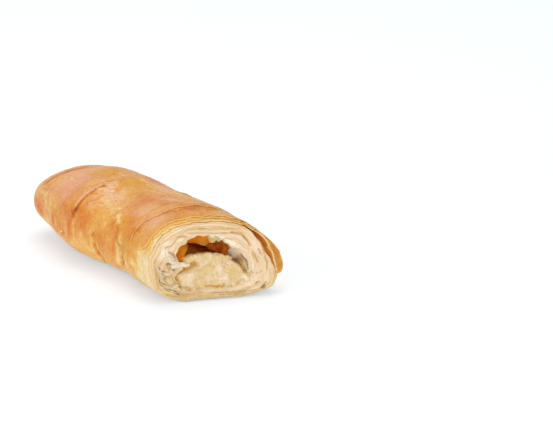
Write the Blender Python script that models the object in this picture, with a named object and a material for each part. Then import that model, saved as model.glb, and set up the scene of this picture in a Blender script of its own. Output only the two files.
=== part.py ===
"""Half of a baked filo roll with a chicken filling, cut on the slant.

The roll lies along X. Its closed end points to -X and its cut face to +X. It rests on a flat strip
on the floor, z = 0, and the origin is the bottom centre of its bounding box. Two solids are built:
the pastry, whose rolled sheets end one behind the other round the cut, and the filling, which runs
through the roll and leaves an air gap under the roof of the pastry.
"""

import math

import bmesh
import bpy
from mathutils import Vector, noise

MM = 0.001

# Driving dimensions of the roll
LENGTH = 101 * MM  # closed tip to the middle of the cut
CUT_SLANT = math.radians(28)  # turn of the cut away from square
CUT_LEAN = math.radians(8)  # the bottom of the cut stands forward of its top
CUT_MIDDLE_Y = 4 * MM
CUT_MIDDLE_Z = 18.8 * MM
SLANT_START = 0.40  # share of the length where the rings begin to slant
WIDTH_TO_HEIGHT = 1.324
AXIS_HEIGHT = 0.45  # height of the section's middle, as a share of its height
NOSE_LENGTH = 60 * MM  # stretch over which the closed end rounds off
NOSE_POWER = 2.2
PRESSED_FLAT = 0.9 * MM  # depth pressed off the underside where it rests

# Share of the length, half width, sideways shift of the middle
STATIONS = (
    (0.00, 22.7 * MM, -4.5 * MM),
    (0.12, 23.5 * MM, 0.8 * MM),
    (0.26, 23.0 * MM, 2.6 * MM),
    (0.40, 22.3 * MM, 3.4 * MM),
    (0.55, 20.5 * MM, 5.3 * MM),
    (0.70, 20.9 * MM, 5.8 * MM),
    (0.85, 21.7 * MM, 4.8 * MM),
    (1.00, 21.5 * MM, 3.4 * MM),
)

# Sheets of filo that end one behind the other round the cut, from the outermost inwards. Each row gives the
# share of the length where the sheet ends on the top, on the near side and on the far side, how far it curls
# out on the far side, and how deep the gap behind its edge runs on the far side.
SHEETS = (
    (0.848, 0.842, 0.955, 6.0 * MM, 8.5 * MM),
    (0.945, 0.862, 0.975, 1.9 * MM, 5.5 * MM),
    (0.978, 0.972, 0.988, 0.5 * MM, 3.0 * MM),
)
SHEET_THICKNESS = 0.40 * MM
SHEET_GAP = 0.25 * MM
UNDERSIDE_SQUEEZE = 0.3  # how thin the stack is underneath, against the sides
UNDERSIDE_END = 0.975  # share of the length where the sheets end underneath
BODY_END = 0.80  # share of the length from which the sheets are built one by one
EDGE_GAP_DEPTH = 1.6 * MM  # how deep the gaps behind the edges run on the top
FAR_SIDE = math.radians(-8)
FAR_HALF_SPAN = (math.radians(46), math.radians(70), math.radians(75))
NEAR_SIDE = math.radians(207)
NEAR_HALF_SPAN = math.radians(56)
RAGGED = 0.5 * MM

# Rings across the cut, from its outer edge to the mouth of the hollow: share of the way, set back
FACE_RINGS = (
    (0.13, 0.0),
    (0.18, 0.9 * MM),
    (0.24, 0.0),
    (0.46, 0.1 * MM),
    (0.51, 0.8 * MM),
    (0.57, 0.0),
    (0.80, 0.1 * MM),
)
CRUMPLE = 1.3 * MM  # depth of the squashed folds at the near side of the cut
CRUMPLE_HALF_SPAN = math.radians(62)

# The filling, and the hollow that the pastry leaves for it and for the air gap
CORE_HEIGHT = 10.5 * MM  # middle of the filling above the floor
CORE_SHIFT = -0.4 * MM
FILLING_HALF_WIDTH = 12.3 * MM
FILLING_RISE = 8.2 * MM
FILLING_DROP = 5.4 * MM
FILLING_SHOULDER = 1.2 * MM  # extra height of the filling towards the near side
NOTCH = 2.4 * MM  # how far the pastry's near wall leans into the filling at the cut
NOTCH_SIDE = math.radians(163)
NOTCH_HALF_SPAN = math.radians(24)
NOTCH_DEPTH = 8 * MM
FILLING_START = 0.15  # share of the length where the filling begins
FILLING_TAPER = 0.17
FIT_GAP = 0.3 * MM
AIR_GAP_DEPTH = 34 * MM
LUMP_HEIGHT = 1.1 * MM
LUMP_SIZE = 4.2 * MM

COLUMNS = 64
FILLING_COLUMNS = 40
CLOSED_DEPTHS = (40, 50, 60, 68, 74, 78, 81)  # mm behind the cut, where filling and pastry touch all round
HOLLOW_DEPTHS = (0, 2, 4.5, 8, 12, 17, 23, 30, *CLOSED_DEPTHS)
FILLING_DEPTHS = (*reversed(CLOSED_DEPTHS), 35, 30, 26, 22, 18.5, 15, 12, 9.5, 7, 5, 3, 1.2)

# Height of the air gap over the filling at the cut, by the angle in degrees about the filling's middle
AIR_GAP_PROFILE = (
    (-4, 0.0),
    (10, 1.4 * MM),
    (25, 2.4 * MM),
    (45, 3.1 * MM),
    (60, 3.9 * MM),
    (80, 5.6 * MM),
    (100, 7.1 * MM),
    (115, 6.3 * MM),
    (130, 4.7 * MM),
    (145, 3.1 * MM),
    (155, 1.4 * MM),
    (166, 0.0),
)

# Folds where one wrap of pastry lies over the next: start and end as (share of length, angle in degrees),
# height of the lip, the distance over which the lip sinks back, and the side on which it lies.
TO_TIP = 1
TO_CUT = -1
FOLDS = (
    ((0.430, 104), (0.395, 172), 1.2 * MM, 6 * MM, TO_TIP),
    ((0.110, 138), (0.262, 76), 1.3 * MM, 7 * MM, TO_CUT),
    ((0.015, 100), (0.150, 62), 0.8 * MM, 5 * MM, TO_TIP),
    ((0.645, 148), (0.700, 196), 0.8 * MM, 4 * MM, TO_TIP),
    ((0.500, 172), (0.535, 212), 0.9 * MM, 4 * MM, TO_TIP),
    ((0.300, 40), (0.520, -20), 1.0 * MM, 8 * MM, TO_TIP),
    ((0.620, 55), (0.660, -30), 0.9 * MM, 7 * MM, TO_TIP),
    ((0.100, 20), (0.210, -40), 1.0 * MM, 6 * MM, TO_TIP),
)
# Soft swellings: centre as (share of length, angle in degrees), height, radius
SWELLINGS = (
    ((0.31, 68), 0.7 * MM, 10 * MM),
    ((0.59, 176), 1.0 * MM, 7 * MM),
    ((0.79, 172), 0.8 * MM, 7 * MM),
    ((0.70, 184), -0.7 * MM, 4 * MM),
    ((0.525, 196), -1.0 * MM, 3.5 * MM),
    ((0.30, 165), 0.7 * MM, 10 * MM),
    ((0.14, 186), -0.8 * MM, 5 * MM),
    ((0.74, 80), 0.5 * MM, 12 * MM),
    ((0.50, 20), 0.8 * MM, 11 * MM),
    ((0.47, 100), -0.7 * MM, 9 * MM),
    ((0.97, -30), 2.0 * MM, 10 * MM),
)
# Shreds in the mouth of the hollow: angle and half span in degrees, length
MOUTH_SHREDS = (
    (150, 9, 1.8 * MM),
    (70, 8, 1.7 * MM),
    (86, 7, 1.3 * MM),
)
SKIN_RADIUS = 19 * MM  # mean radius, which turns an angle into a distance on the skin


def clear_scene():
    for old in list(bpy.data.objects):
        bpy.data.objects.remove(old, do_unlink=True)


def smooth(t):
    t = min(max(t, 0.0), 1.0)
    return t * t * (3 - 2 * t)


def signed_power(value, power):
    return math.copysign(abs(value) ** power, value)


def curve(table, place_on_table, column=1):
    """A column of the table, read on a smooth curve through its rows."""
    last = len(table) - 1
    k = 0
    while k < last - 1 and place_on_table > table[k + 1][0]:
        k += 1
    before, start, end, after = (table[min(max(n, 0), last)] for n in (k - 1, k, k + 1, k + 2))
    t = (place_on_table - start[0]) / (end[0] - start[0])
    t = min(max(t, 0.0), 1.0)
    slope_in = (end[column] - before[column]) / 2
    slope_out = (after[column] - start[column]) / 2
    return (
        (2 * t**3 - 3 * t**2 + 1) * start[column]
        + (t**3 - 2 * t**2 + t) * slope_in
        + (3 * t**2 - 2 * t**3) * end[column]
        + (t**3 - t**2) * slope_out
    )


def angle_apart(a, b):
    """Signed turn from angle b to angle a, in radians, between -pi and pi."""
    return (a - b + math.pi) % (2 * math.pi) - math.pi


def fold_relief(share, angle):
    """Height of the lips left by the wraps of the pastry."""
    height = 0.0
    for (share_a, angle_a), (share_b, angle_b), lip, reach, lip_side in FOLDS:
        start_turn = angle_apart(angle, math.radians(angle_a)) * SKIN_RADIUS
        run_x = (share_b - share_a) * LENGTH
        run_turn = math.radians(angle_b - angle_a) * SKIN_RADIUS
        length = math.hypot(run_x, run_turn)
        px = (share - share_a) * LENGTH
        t = (px * run_x + start_turn * run_turn) / length**2
        fade = smooth((t + 0.12) / 0.24) * smooth((1.12 - t) / 0.24)
        side = lip_side * (px * run_turn - start_turn * run_x) / length
        if run_turn > 0:
            side = -side
        if side >= 0:
            height += lip * math.exp(-side / reach) * fade
        else:
            height -= 0.35 * lip * math.exp(side / (0.4 * reach)) * fade
    return height


def swelling_relief(share, angle):
    height = 0.0
    for (share_c, angle_c), rise, radius in SWELLINGS:
        dx = (share - share_c) * LENGTH
        dt = angle_apart(angle, math.radians(angle_c)) * SKIN_RADIUS
        height += rise * math.exp(-(dx * dx + dt * dt) / radius**2)
    return height


def dough_relief(share, angle):
    """Soft unevenness of hand-rolled dough, with a wavelength of about 15 mm."""
    across = math.cos(angle) * SKIN_RADIUS
    high = math.sin(angle) * SKIN_RADIUS
    spot = Vector((share * LENGTH, across, high)) / (15 * MM)
    return 0.55 * MM * noise.noise(spot) + 0.25 * MM * noise.noise(spot * 2.3)


def nose(share):
    """Scale of the section where the closed end rounds off."""
    left = 1 - min(share * LENGTH / NOSE_LENGTH, 1.0)
    return max(1 - left**NOSE_POWER, 0.0) ** (1 / NOSE_POWER)


def section_middle(share):
    full_height = 2 * curve(STATIONS, share, 1) / WIDTH_TO_HEIGHT
    return curve(STATIONS, share, 2), full_height * AXIS_HEIGHT


def skin(share, angle, sunk=0.0, lifted=0.0):
    """Point (y, z) of the outer skin, sunk towards the section's middle or lifted away from it."""
    scale = nose(share)
    half_width = curve(STATIONS, share, 1)
    full_height = 2 * half_width / WIDTH_TO_HEIGHT
    middle_y, middle_z = section_middle(share)
    rise = (full_height - middle_z) * scale
    drop = (middle_z + PRESSED_FLAT) * scale
    across = signed_power(math.cos(angle), 0.9) * half_width * scale
    up = math.sin(angle)
    high = rise * abs(up) ** 0.85 if up >= 0 else -drop * abs(up) ** 0.6
    reach = math.hypot(across, high)
    relief = (fold_relief(share, angle) + swelling_relief(share, angle) + dough_relief(share, angle)) * scale
    relief *= 1 - smooth(-up * 2.5 - 1.2)
    squeeze = 1 - (1 - UNDERSIDE_SQUEEZE) * smooth(-up * 1.6)
    grown = 1 + relief / max(reach, 1 * MM)
    y = middle_y + across * grown
    z = max(middle_z + high * grown, 0.0)
    to_middle = Vector((middle_y - y, middle_z - z))
    step = (sunk - lifted) * squeeze
    moved = Vector((y, z)) + to_middle.normalized() * step
    return moved.x, moved.y


def place(share, y, z):
    """A point of the roll, with the rings turned steadily towards the slant of the cut."""
    slant = (y - CUT_MIDDLE_Y) * math.tan(CUT_SLANT) - (z - CUT_MIDDLE_Z) * math.tan(CUT_LEAN)
    towards_cut = max((share - SLANT_START) / (1 - SLANT_START), 0.0) ** 1.5
    return Vector((share * LENGTH + slant * towards_cut, y, z))


def bump(angle, middle, half_span):
    """1 at the middle angle, falling smoothly to 0 at half_span from it."""
    return smooth(1 - abs(angle_apart(angle, middle)) / half_span)


def ragged(angle, phase):
    """Uneven line of a broken sheet, as a share of the length."""
    wave = math.sin(7 * angle + phase) + 0.6 * math.sin(17 * angle + 2.3 * phase)
    wave += 0.4 * math.sin(29 * angle)
    return RAGGED / LENGTH * wave / 1.4


def sheet_end(number, angle):
    """Share of the length where a sheet ends."""
    top, near, far, _, _ = SHEETS[number]
    end = top + (far - top) * bump(angle, FAR_SIDE, FAR_HALF_SPAN[number])
    end += (near - top) * smooth(3 * bump(angle, NEAR_SIDE, NEAR_HALF_SPAN))
    end += ragged(angle, 1.0 * number)
    low = smooth(-math.sin(angle) * 2.2 - 0.6)
    return end + (UNDERSIDE_END + 0.008 * number - end) * low


def sheet_curl(number, angle, share):
    """How far a sheet curls out at this place."""
    curl, depth = SHEETS[number][3:]
    near_end = 1 - (sheet_end(number, angle) - share) * LENGTH / depth
    return curl * bump(angle, FAR_SIDE, FAR_HALF_SPAN[number]) * smooth(near_end) ** 1.4


def gap_foot(number, angle):
    """Share of the length of the foot of the gap behind a sheet's edge."""
    far_depth = SHEETS[number][4]
    depth = EDGE_GAP_DEPTH + (far_depth - EDGE_GAP_DEPTH) * bump(angle, FAR_SIDE, FAR_HALF_SPAN[number])
    return sheet_end(number, angle) - depth / LENGTH


def sheet_rings():
    """Rings from the body to the outer edge of the cut, over and under the sheets in turn. Each ring is a
    function of the angle that gives (share, depth below the skin, curl)."""
    rings = []

    def add(number, start, end, part, depth, curls):
        def ring(angle):
            share = start(angle) + (end(angle) - start(angle)) * part
            return share, depth, sheet_curl(number, angle, share) if curls else 0.0

        rings.append(ring)

    def body_end(angle):
        return BODY_END

    def cut(angle):
        return 1.0

    start = body_end
    for number in range(len(SHEETS)):
        depth = number * (SHEET_THICKNESS + SHEET_GAP)
        under = depth + SHEET_THICKNESS

        def end(angle, number=number):
            return sheet_end(number, angle)

        def foot(angle, number=number):
            return gap_foot(number, angle)

        for part in (0.4, 0.7, 1.0):
            add(number, start, end, part, depth, True)
        for part in (0.0, 0.5):
            add(number, end, foot, part, under, True)
        add(number, end, foot, 1.0, under, False)
        add(number, end, foot, 1.0, under + SHEET_GAP, False)
        start = foot
    rings_depth = len(SHEETS) * (SHEET_THICKNESS + SHEET_GAP)
    add(0, start, cut, 0.6, rings_depth, False)
    add(0, start, cut, 1.0, rings_depth, False)
    return rings


def core_middle(share):
    middle_y = curve(STATIONS, share, 2)
    return middle_y + CORE_SHIFT, CORE_HEIGHT


def filling_reach(share, angle):
    """Radius of the filling about its middle."""
    taper = smooth((share - FILLING_START) / FILLING_TAPER) ** 0.5
    rounding = 1.9 - 0.3 * math.sin(angle)
    vertical = FILLING_RISE if math.sin(angle) > 0 else FILLING_DROP
    across = abs(math.cos(angle)) / FILLING_HALF_WIDTH
    high = abs(math.sin(angle)) / vertical
    shoulder = FILLING_SHOULDER * bump(angle, math.radians(135), math.radians(38))
    notch = NOTCH * bump(angle, NOTCH_SIDE, NOTCH_HALF_SPAN)
    notch *= smooth(1 - (1 - share) * LENGTH / NOTCH_DEPTH)
    return ((across**rounding + high**rounding) ** (-1 / rounding) + shoulder) * taper - notch


def air_gap(share, angle):
    """Height of the air gap over the filling."""
    depth = (1 - share) * LENGTH
    inward = (1 + 0.12 * smooth(depth / (6 * MM))) * smooth((AIR_GAP_DEPTH - depth) / (0.6 * AIR_GAP_DEPTH))
    turn = math.degrees(angle_apart(angle, math.pi / 2)) + 90
    if not AIR_GAP_PROFILE[0][0] < turn < AIR_GAP_PROFILE[-1][0]:
        return 0.0
    return max(curve(AIR_GAP_PROFILE, turn), 0.0) * inward


def hollow(share, angle):
    """Point (y, z) of the pastry's inner wall."""
    middle_y, middle_z = core_middle(share)
    reach = filling_reach(share, angle) + FIT_GAP + air_gap(share, angle)
    return middle_y + math.cos(angle) * reach, middle_z + math.sin(angle) * reach


def shreds(angle):
    """Shreds of pastry that hang into the mouth of the hollow."""
    hanging = 0.0
    for middle, half_span, length in MOUTH_SHREDS:
        hanging += length * bump(angle, math.radians(middle), math.radians(half_span))
    return min(hanging, 0.6 * air_gap(1.0, angle))


def crumple(share_of_way, angle):
    """How far the squashed layers at the near side of the cut lie back."""
    spot = Vector((5 * math.cos(angle), 5 * math.sin(angle), 4 * share_of_way))
    return CRUMPLE * bump(angle, NEAR_SIDE, CRUMPLE_HALF_SPAN) * (0.5 + noise.noise(spot))


def even_angles(count):
    return [2 * math.pi * k / count for k in range(count)]


def skin_angles(count):
    """Angles that space the columns evenly round the skin."""
    fine = even_angles(720)
    points = [Vector(skin(0.9, a)) for a in fine]
    steps = [(points[(k + 1) % 720] - points[k]).length for k in range(720)]
    spacing = sum(steps) / count
    angles = []
    walked = 0.0
    for angle, step in zip(fine, steps):
        if walked >= len(angles) * spacing:
            angles.append(angle)
        walked += step
    return angles[:count]


def lay_ring(mesh, points):
    return [mesh.verts.new(point) for point in points]


def stitch(mesh, first, second):
    count = len(first)
    for k in range(count):
        n = (k + 1) % count
        mesh.faces.new((first[k], first[n], second[n], second[k]))


def cap(mesh, ring, pole_point, at_start):
    pole = mesh.verts.new(pole_point)
    count = len(ring)
    for k in range(count):
        n = (k + 1) % count
        corners = (pole, ring[n], ring[k]) if at_start else (pole, ring[k], ring[n])
        mesh.faces.new(corners)


def finish_object(name, mesh, material):
    bmesh.ops.recalc_face_normals(mesh, faces=mesh.faces[:])
    data = bpy.data.meshes.new(name)
    mesh.to_mesh(data)
    mesh.free()
    data.materials.append(material)
    made = bpy.data.objects.new(name, data)
    bpy.context.scene.collection.objects.link(made)
    data.shade_smooth()
    return made


def make_material(name, colour, roughness):
    material = bpy.data.materials.new(name)
    material.use_nodes = True
    shader = material.node_tree.nodes["Principled BSDF"]
    shader.inputs["Base Color"].default_value = (*colour, 1.0)
    shader.inputs["Roughness"].default_value = roughness
    shader.inputs["Metallic"].default_value = 0.0
    return material


def build_pastry():
    mesh = bmesh.new()
    angles = skin_angles(COLUMNS)
    rings = []
    nose_shares = [0.006, 0.022, 0.048, 0.082, 0.122]
    body_count = 36
    shares = nose_shares + [0.150 + (BODY_END - 0.150) * k / body_count for k in range(body_count + 1)]
    for share in shares:
        rings.append(lay_ring(mesh, [place(share, *skin(share, a)) for a in angles]))
    tip_y, tip_z = section_middle(0.0)
    cap(mesh, rings[0], place(0.0, tip_y, tip_z), at_start=True)

    for ring in sheet_rings():
        points = []
        for a in angles:
            share, sunk, lifted = ring(a)
            points.append(place(share, *skin(share, a, sunk, lifted)))
        rings.append(lay_ring(mesh, points))

    edge = len(SHEETS) * (SHEET_THICKNESS + SHEET_GAP)
    for part, set_back in FACE_RINGS:
        points = []
        for a in angles:
            back = set_back * (0.75 + 0.45 * math.sin(3 * a + 9 * part)) + crumple(part, a)
            share = 1.0 - back / LENGTH
            wander = 0.05 * math.sin(2 * a + 5 * part) + 0.02 * math.sin(7 * a)
            outer = Vector(skin(1.0, a, edge))
            inner = Vector(hollow(1.0, a))
            points.append(place(share, *outer.lerp(inner, part + wander * (1 - part))))
        rings.append(lay_ring(mesh, points))

    for depth in HOLLOW_DEPTHS:
        share = 1.0 - depth * MM / LENGTH
        shred = max(1 - depth / 4, 0.0)
        points = []
        for a in angles:
            middle = Vector(core_middle(share))
            wall = Vector(hollow(share, a))
            inward = (middle - wall).normalized() * shreds(a) * shred
            points.append(place(share, *(wall + inward)))
        rings.append(lay_ring(mesh, points))
    end_share = 1.0 - (HOLLOW_DEPTHS[-1] + 4.5) * MM / LENGTH
    cap(mesh, rings[-1], place(end_share, *core_middle(end_share)), at_start=False)

    for first, second in zip(rings, rings[1:]):
        stitch(mesh, first, second)
    return finish_object("pastry", mesh, make_material("baked filo", (0.68, 0.34, 0.12), 0.45))


def lump(point):
    """Height of the lumps of chicken in their sauce."""
    spot = Vector(point) / LUMP_SIZE
    return LUMP_HEIGHT * (1.2 - 2.2 * noise.voronoi(spot)[0][0])


def filling_point(share, angle, part):
    """A point of the filling, lumpy only where it lies free under the air gap."""
    middle_y, middle_z = core_middle(share)
    reach = filling_reach(share, angle) * part
    y = middle_y + math.cos(angle) * reach
    z = middle_z + math.sin(angle) * reach
    free = smooth((air_gap(share, angle) - 2 * MM) / (2.5 * MM)) * part
    rise = lump(place(share, y, z)) * free
    return Vector((y + math.cos(angle) * rise, z + math.sin(angle) * rise))


def build_filling():
    mesh = bmesh.new()
    angles = even_angles(FILLING_COLUMNS)
    rings = []
    for depth in FILLING_DEPTHS:
        share = 1.0 - depth * MM / LENGTH
        points = [place(share, *filling_point(share, a, 1.0)) for a in angles]
        rings.append(lay_ring(mesh, points))
    start_share = 1.0 - (FILLING_DEPTHS[0] + 3.5) * MM / LENGTH
    cap(mesh, rings[0], place(start_share, *core_middle(start_share)), at_start=True)

    for part in (0.94, 0.78, 0.60, 0.42, 0.24, 0.10):
        points = []
        for a in angles:
            flat = place(1.0, *filling_point(1.0, a, part))
            bulge = lump(flat) * 0.9 + 0.4 * MM * (1 - part)
            points.append(flat + Vector((min(bulge, 1.5 * MM), 0.0, 0.0)))
        rings.append(lay_ring(mesh, points))
    middle = place(1.0, *core_middle(1.0))
    cap(mesh, rings[-1], middle + Vector((0.8 * MM, 0.0, 0.0)), at_start=False)
    for first, second in zip(rings, rings[1:]):
        stitch(mesh, first, second)
    return finish_object("filling", mesh, make_material("chicken filling", (0.84, 0.70, 0.44), 0.5))


def centre_on_origin(objects):
    """Moves the meshes so that the bottom centre of their common box is the origin."""
    points = [vertex.co for made in objects for vertex in made.data.vertices]
    low = Vector([min(p[k] for p in points) for k in range(3)])
    high = Vector([max(p[k] for p in points) for k in range(3)])
    middle = (low + high) / 2
    for made in objects:
        for vertex in made.data.vertices:
            vertex.co -= Vector((middle.x, middle.y, low.z))


clear_scene()
centre_on_origin([build_pastry(), build_filling()])
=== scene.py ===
"""Looks of half a baked filo roll with a creamy chicken filling, cut on the slant.

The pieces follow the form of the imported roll, in metres, in its frame: a crust with folds, laps and
blisters, leaves that step back behind it round the cut, the laminated ring of the cut with its torn shards,
the browned wall of the air gap, and the filling of shreds and lumps in cream.
"""

import math
import random

import bpy
from mathutils import Matrix, Vector, noise


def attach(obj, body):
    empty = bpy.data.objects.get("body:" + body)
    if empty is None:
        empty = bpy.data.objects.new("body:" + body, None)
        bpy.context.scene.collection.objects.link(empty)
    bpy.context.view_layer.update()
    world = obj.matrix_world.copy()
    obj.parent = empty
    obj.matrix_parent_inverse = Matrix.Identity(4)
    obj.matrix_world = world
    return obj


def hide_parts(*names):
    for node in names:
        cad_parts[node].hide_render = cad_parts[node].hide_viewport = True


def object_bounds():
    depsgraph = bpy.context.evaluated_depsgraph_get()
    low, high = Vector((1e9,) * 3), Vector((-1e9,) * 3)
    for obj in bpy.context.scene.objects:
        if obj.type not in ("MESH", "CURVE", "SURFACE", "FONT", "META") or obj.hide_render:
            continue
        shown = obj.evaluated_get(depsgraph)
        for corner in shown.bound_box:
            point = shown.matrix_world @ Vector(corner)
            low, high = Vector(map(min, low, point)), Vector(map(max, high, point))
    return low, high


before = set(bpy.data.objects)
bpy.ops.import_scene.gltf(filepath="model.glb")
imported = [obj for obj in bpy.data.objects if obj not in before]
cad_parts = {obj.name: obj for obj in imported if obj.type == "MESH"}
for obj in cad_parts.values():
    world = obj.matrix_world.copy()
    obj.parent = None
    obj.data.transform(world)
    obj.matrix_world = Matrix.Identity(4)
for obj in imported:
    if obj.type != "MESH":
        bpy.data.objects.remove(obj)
cad_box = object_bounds()

MM = 0.001


def in_metres(columns, *rows):
    """The rows of a table. What stands in these columns, counted from 0, is in mm and is kept in metres."""
    return [tuple(cell * MM if k in columns else cell for k, cell in enumerate(row)) for row in rows]


# ---------------------------------------------------------------------------
# Form of the roll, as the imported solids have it
# ---------------------------------------------------------------------------
LENGTH = 101 * MM  # closed tip to the middle of the cut
CUT_SLANT = math.radians(28)  # turn of the cut away from square
CUT_LEAN = math.radians(8)  # the bottom of the cut stands forward of its top
CUT_MIDDLE_Y = 4 * MM
CUT_MIDDLE_Z = 18.8 * MM
SLANT_START = 0.40  # share of the length where the rings begin to slant
WIDTH_TO_HEIGHT = 1.324
AXIS_HEIGHT = 0.45  # height of the section's middle, as a share of its height
SIDE_POWER = 0.9  # roundness of the section's sides, top and underside: 1 is an oval, less is squarer
TOP_POWER = 0.85
UNDERSIDE_POWER = 0.6
NOSE_LENGTH = 60 * MM  # stretch over which the closed end rounds off
NOSE_POWER = 2.2
PRESSED_FLAT = 0.9 * MM  # depth pressed off the underside where it rests
UNDERSIDE_SQUEEZE = 0.3  # how thin the stack of leaves is underneath, against the sides
UNDERSIDE_END = 0.975  # share of the length where the leaves end underneath
SKIN_RADIUS = 19 * MM  # mean radius, which turns an angle into a distance on the skin
BROAD_WAVES = 15 * MM  # sizes of the noise that makes the skin uneven
SMALL_WAVES = 3.3 * MM
BLISTERS = 1.4 * MM

# Share of the length, half width, sideways shift of the middle
STATIONS = in_metres(
    (1, 2),
    (0.00, 22.7, -4.5),
    (0.12, 23.5, 0.8),
    (0.26, 23.0, 2.6),
    (0.40, 22.3, 3.4),
    (0.55, 20.5, 5.3),
    (0.70, 20.9, 5.8),
    (0.85, 21.7, 4.8),
    (1.00, 21.5, 3.4),
)

FAR_SIDE = math.radians(-8)
NEAR_SIDE = math.radians(207)
NEAR_HALF_SPAN = math.radians(56)

# Leaves of filo round the cut, from the crust inwards: share of the length where the leaf ends on the top,
# on the near side and on the far side, half span of its far end, curl, depth of the gap behind its far edge,
# depth of its outer face under the skin, thickness
LEAVES = in_metres(
    (4, 5, 6, 7),
    (0.848, 0.842, 0.955, math.radians(46), 6.0, 8.5, 0.00, 0.40),
    (0.945, 0.862, 0.975, math.radians(70), 1.9, 5.5, 0.44, 0.40),
    (0.962, 0.920, 0.981, math.radians(72), 1.8, 4.4, 0.88, 0.40),
    (0.979, 0.972, 0.988, math.radians(75), 1.8, 3.8, 1.32, 0.42),
)
RING_DEPTH = 1.85 * MM  # depth of the ring's outer edge under the skin
EDGE_GAP_DEPTH = 1.8 * MM  # how deep the gaps behind the edges run on the top
NEAR_SQUEEZE = 0.62  # how much thinner the stack is on the near side
# How much earlier the crust itself ends, by degrees round the roll
CRUST_ENDS_EARLIER = (
    (40, 0.0), (70, -0.012), (80, -0.002), (90, 0.004), (100, 0.007), (108, 0.004), (115, 0.005),
    (122, 0.017), (130, 0.033), (140, 0.046), (150, 0.050), (164, 0.040), (178, 0.015), (190, 0.0),
)

# How much paler than the crust the leaves 1 to 3 are, and how pale their torn edges
PALER_THAN_CRUST = (0.0, 0.02, 0.14, 0.36)
PALE_EDGE = (1.0, 1.0, 0.9, 0.5)
TORN_LEAF = 0.26 * MM  # thickness of the torn leaves on the cut
GAP_LEAF = 0.24 * MM  # thickness of the leaves in the air gap

CORE_HEIGHT = 10.5 * MM  # middle of the filling above the floor
CORE_SHIFT = -0.4 * MM
FILLING_HALF_WIDTH = 12.3 * MM
FILLING_RISE = 8.2 * MM
FILLING_DROP = 5.4 * MM
FILLING_SHOULDER = 1.2 * MM  # extra height of the filling towards the near side
FILLING_START = 0.15  # share of the length where the filling begins
FILLING_TAPER = 0.17
NOTCH = 2.4 * MM  # how far the pastry's near wall leans into the filling at the cut
NOTCH_SIDE = math.radians(163)
NOTCH_HALF_SPAN = math.radians(24)
NOTCH_DEPTH = 8 * MM
FIT_GAP = 0.3 * MM  # between the filling and the pastry
FILLING_END = 84.5 * MM  # behind the cut, as the next ones
HOLLOW_END = 85.5 * MM
AIR_GAP_DEPTH = 34 * MM
WALL_DEPTH = 38 * MM
# Height of the air gap over the filling at the cut, by degrees round it
AIR_GAP_PROFILE = in_metres(
    (1,),
    (-4, 0.0), (10, 1.4), (25, 2.4), (45, 3.1), (60, 3.9), (80, 5.6),
    (100, 7.1), (115, 6.3), (130, 4.7), (145, 3.1), (155, 1.4), (166, 0.0),
)

# How finely the pieces are laid out: rows along the roll, columns round it, size of the filling's faces
ROWS_TO_BODY = 205
ROWS_AT_END = 22
LEAF_ROWS = 26
FACE_ROWS = 100
WALL_ROWS = 40
SKIN_COLUMNS = 316
RING_COLUMNS = 360
FILLING_GRAIN = 0.36 * MM
BODY_END = 0.78  # share of the length from which the rows draw near to the torn end of the crust
# The crust's hidden inside behind the ring: depth under the skin, shares of the length
HIDDEN_DEPTH = 2.2 * MM
HIDDEN_SHARES = (0.78, 0.72, 0.66, 0.60)
# Shares of the length for the outer edge of the ring, from its hidden end to the cut
RING_SHARES = (0.62, 0.70, 0.80, 0.88, 0.94, 0.96, 0.97, 0.98, 0.985, 0.99, 0.994, 0.997)
# Depths behind the cut in mm: rows of the wall round the filling, and of the filling
HOLLOW_DEPTHS = (41, 50, 60, 68, 74, 78, 81)
FILLING_DEPTHS = (81, 78, 74, 68, 60, 50, 42, 36, 32, 28, 24, 20, 17, 14, 12, 10, 8, 6, 4.5, 3, 1.6, 0.6)

# Folds where one wrap of pastry lies over the next: start and end as (share, degrees), height of the lip,
# reach over which it sinks back, how far it hangs over, side of the lip
TO_TIP = 1
TO_CUT = -1
FOLDS = in_metres(
    (2, 3, 4),
    ((0.424, 104), (0.386, 166), 0.62, 4.0, 0.25, TO_TIP),
    ((0.115, 139), (0.250, 82), 0.35, 4.0, 0.15, TO_CUT),
    ((0.060, 70), (0.240, 24), 0.5, 5.0, 0.25, TO_TIP),
    ((0.645, 148), (0.700, 196), 0.8, 4.0, 0.40, TO_TIP),
    ((0.500, 172), (0.535, 212), 0.8, 4.0, 0.40, TO_TIP),
    ((0.300, 40), (0.520, -20), 0.9, 7.0, 0.55, TO_TIP),
    ((0.620, 55), (0.660, -30), 0.9, 6.0, 0.55, TO_TIP),
    ((0.100, 20), (0.210, -40), 0.9, 6.0, 0.50, TO_TIP),
)
# Thin edges of single sheets that lie on the skin, in the same columns
LAPS = in_metres(
    (2, 3, 4),
    ((0.055, 158), (0.175, 128), 0.26, 2.2, 0.30, TO_CUT),
    ((0.300, 128), (0.385, 100), 0.24, 2.4, 0.30, TO_CUT),
    ((0.445, 150), (0.470, 118), 0.26, 2.0, 0.30, TO_CUT),
    ((0.570, 152), (0.660, 132), 0.30, 2.0, 0.35, TO_TIP),
    ((0.520, 128), (0.630, 96), 0.24, 3.0, 0.30, TO_CUT),
    ((0.700, 150), (0.765, 100), 0.28, 2.6, 0.35, TO_CUT),
    ((0.765, 158), (0.800, 84), 0.24, 2.2, 0.30, TO_CUT),
    ((0.560, 88), (0.720, 66), 0.26, 3.0, 0.30, TO_TIP),
    ((0.230, 172), (0.330, 188), 0.30, 2.5, 0.30, TO_TIP),
    ((0.150, 60), (0.330, 20), 0.28, 3.0, 0.30, TO_CUT),
    ((0.430, 50), (0.560, 10), 0.30, 3.0, 0.35, TO_CUT),
    ((0.740, 40), (0.800, -20), 0.28, 2.6, 0.30, TO_CUT),
)
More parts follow.
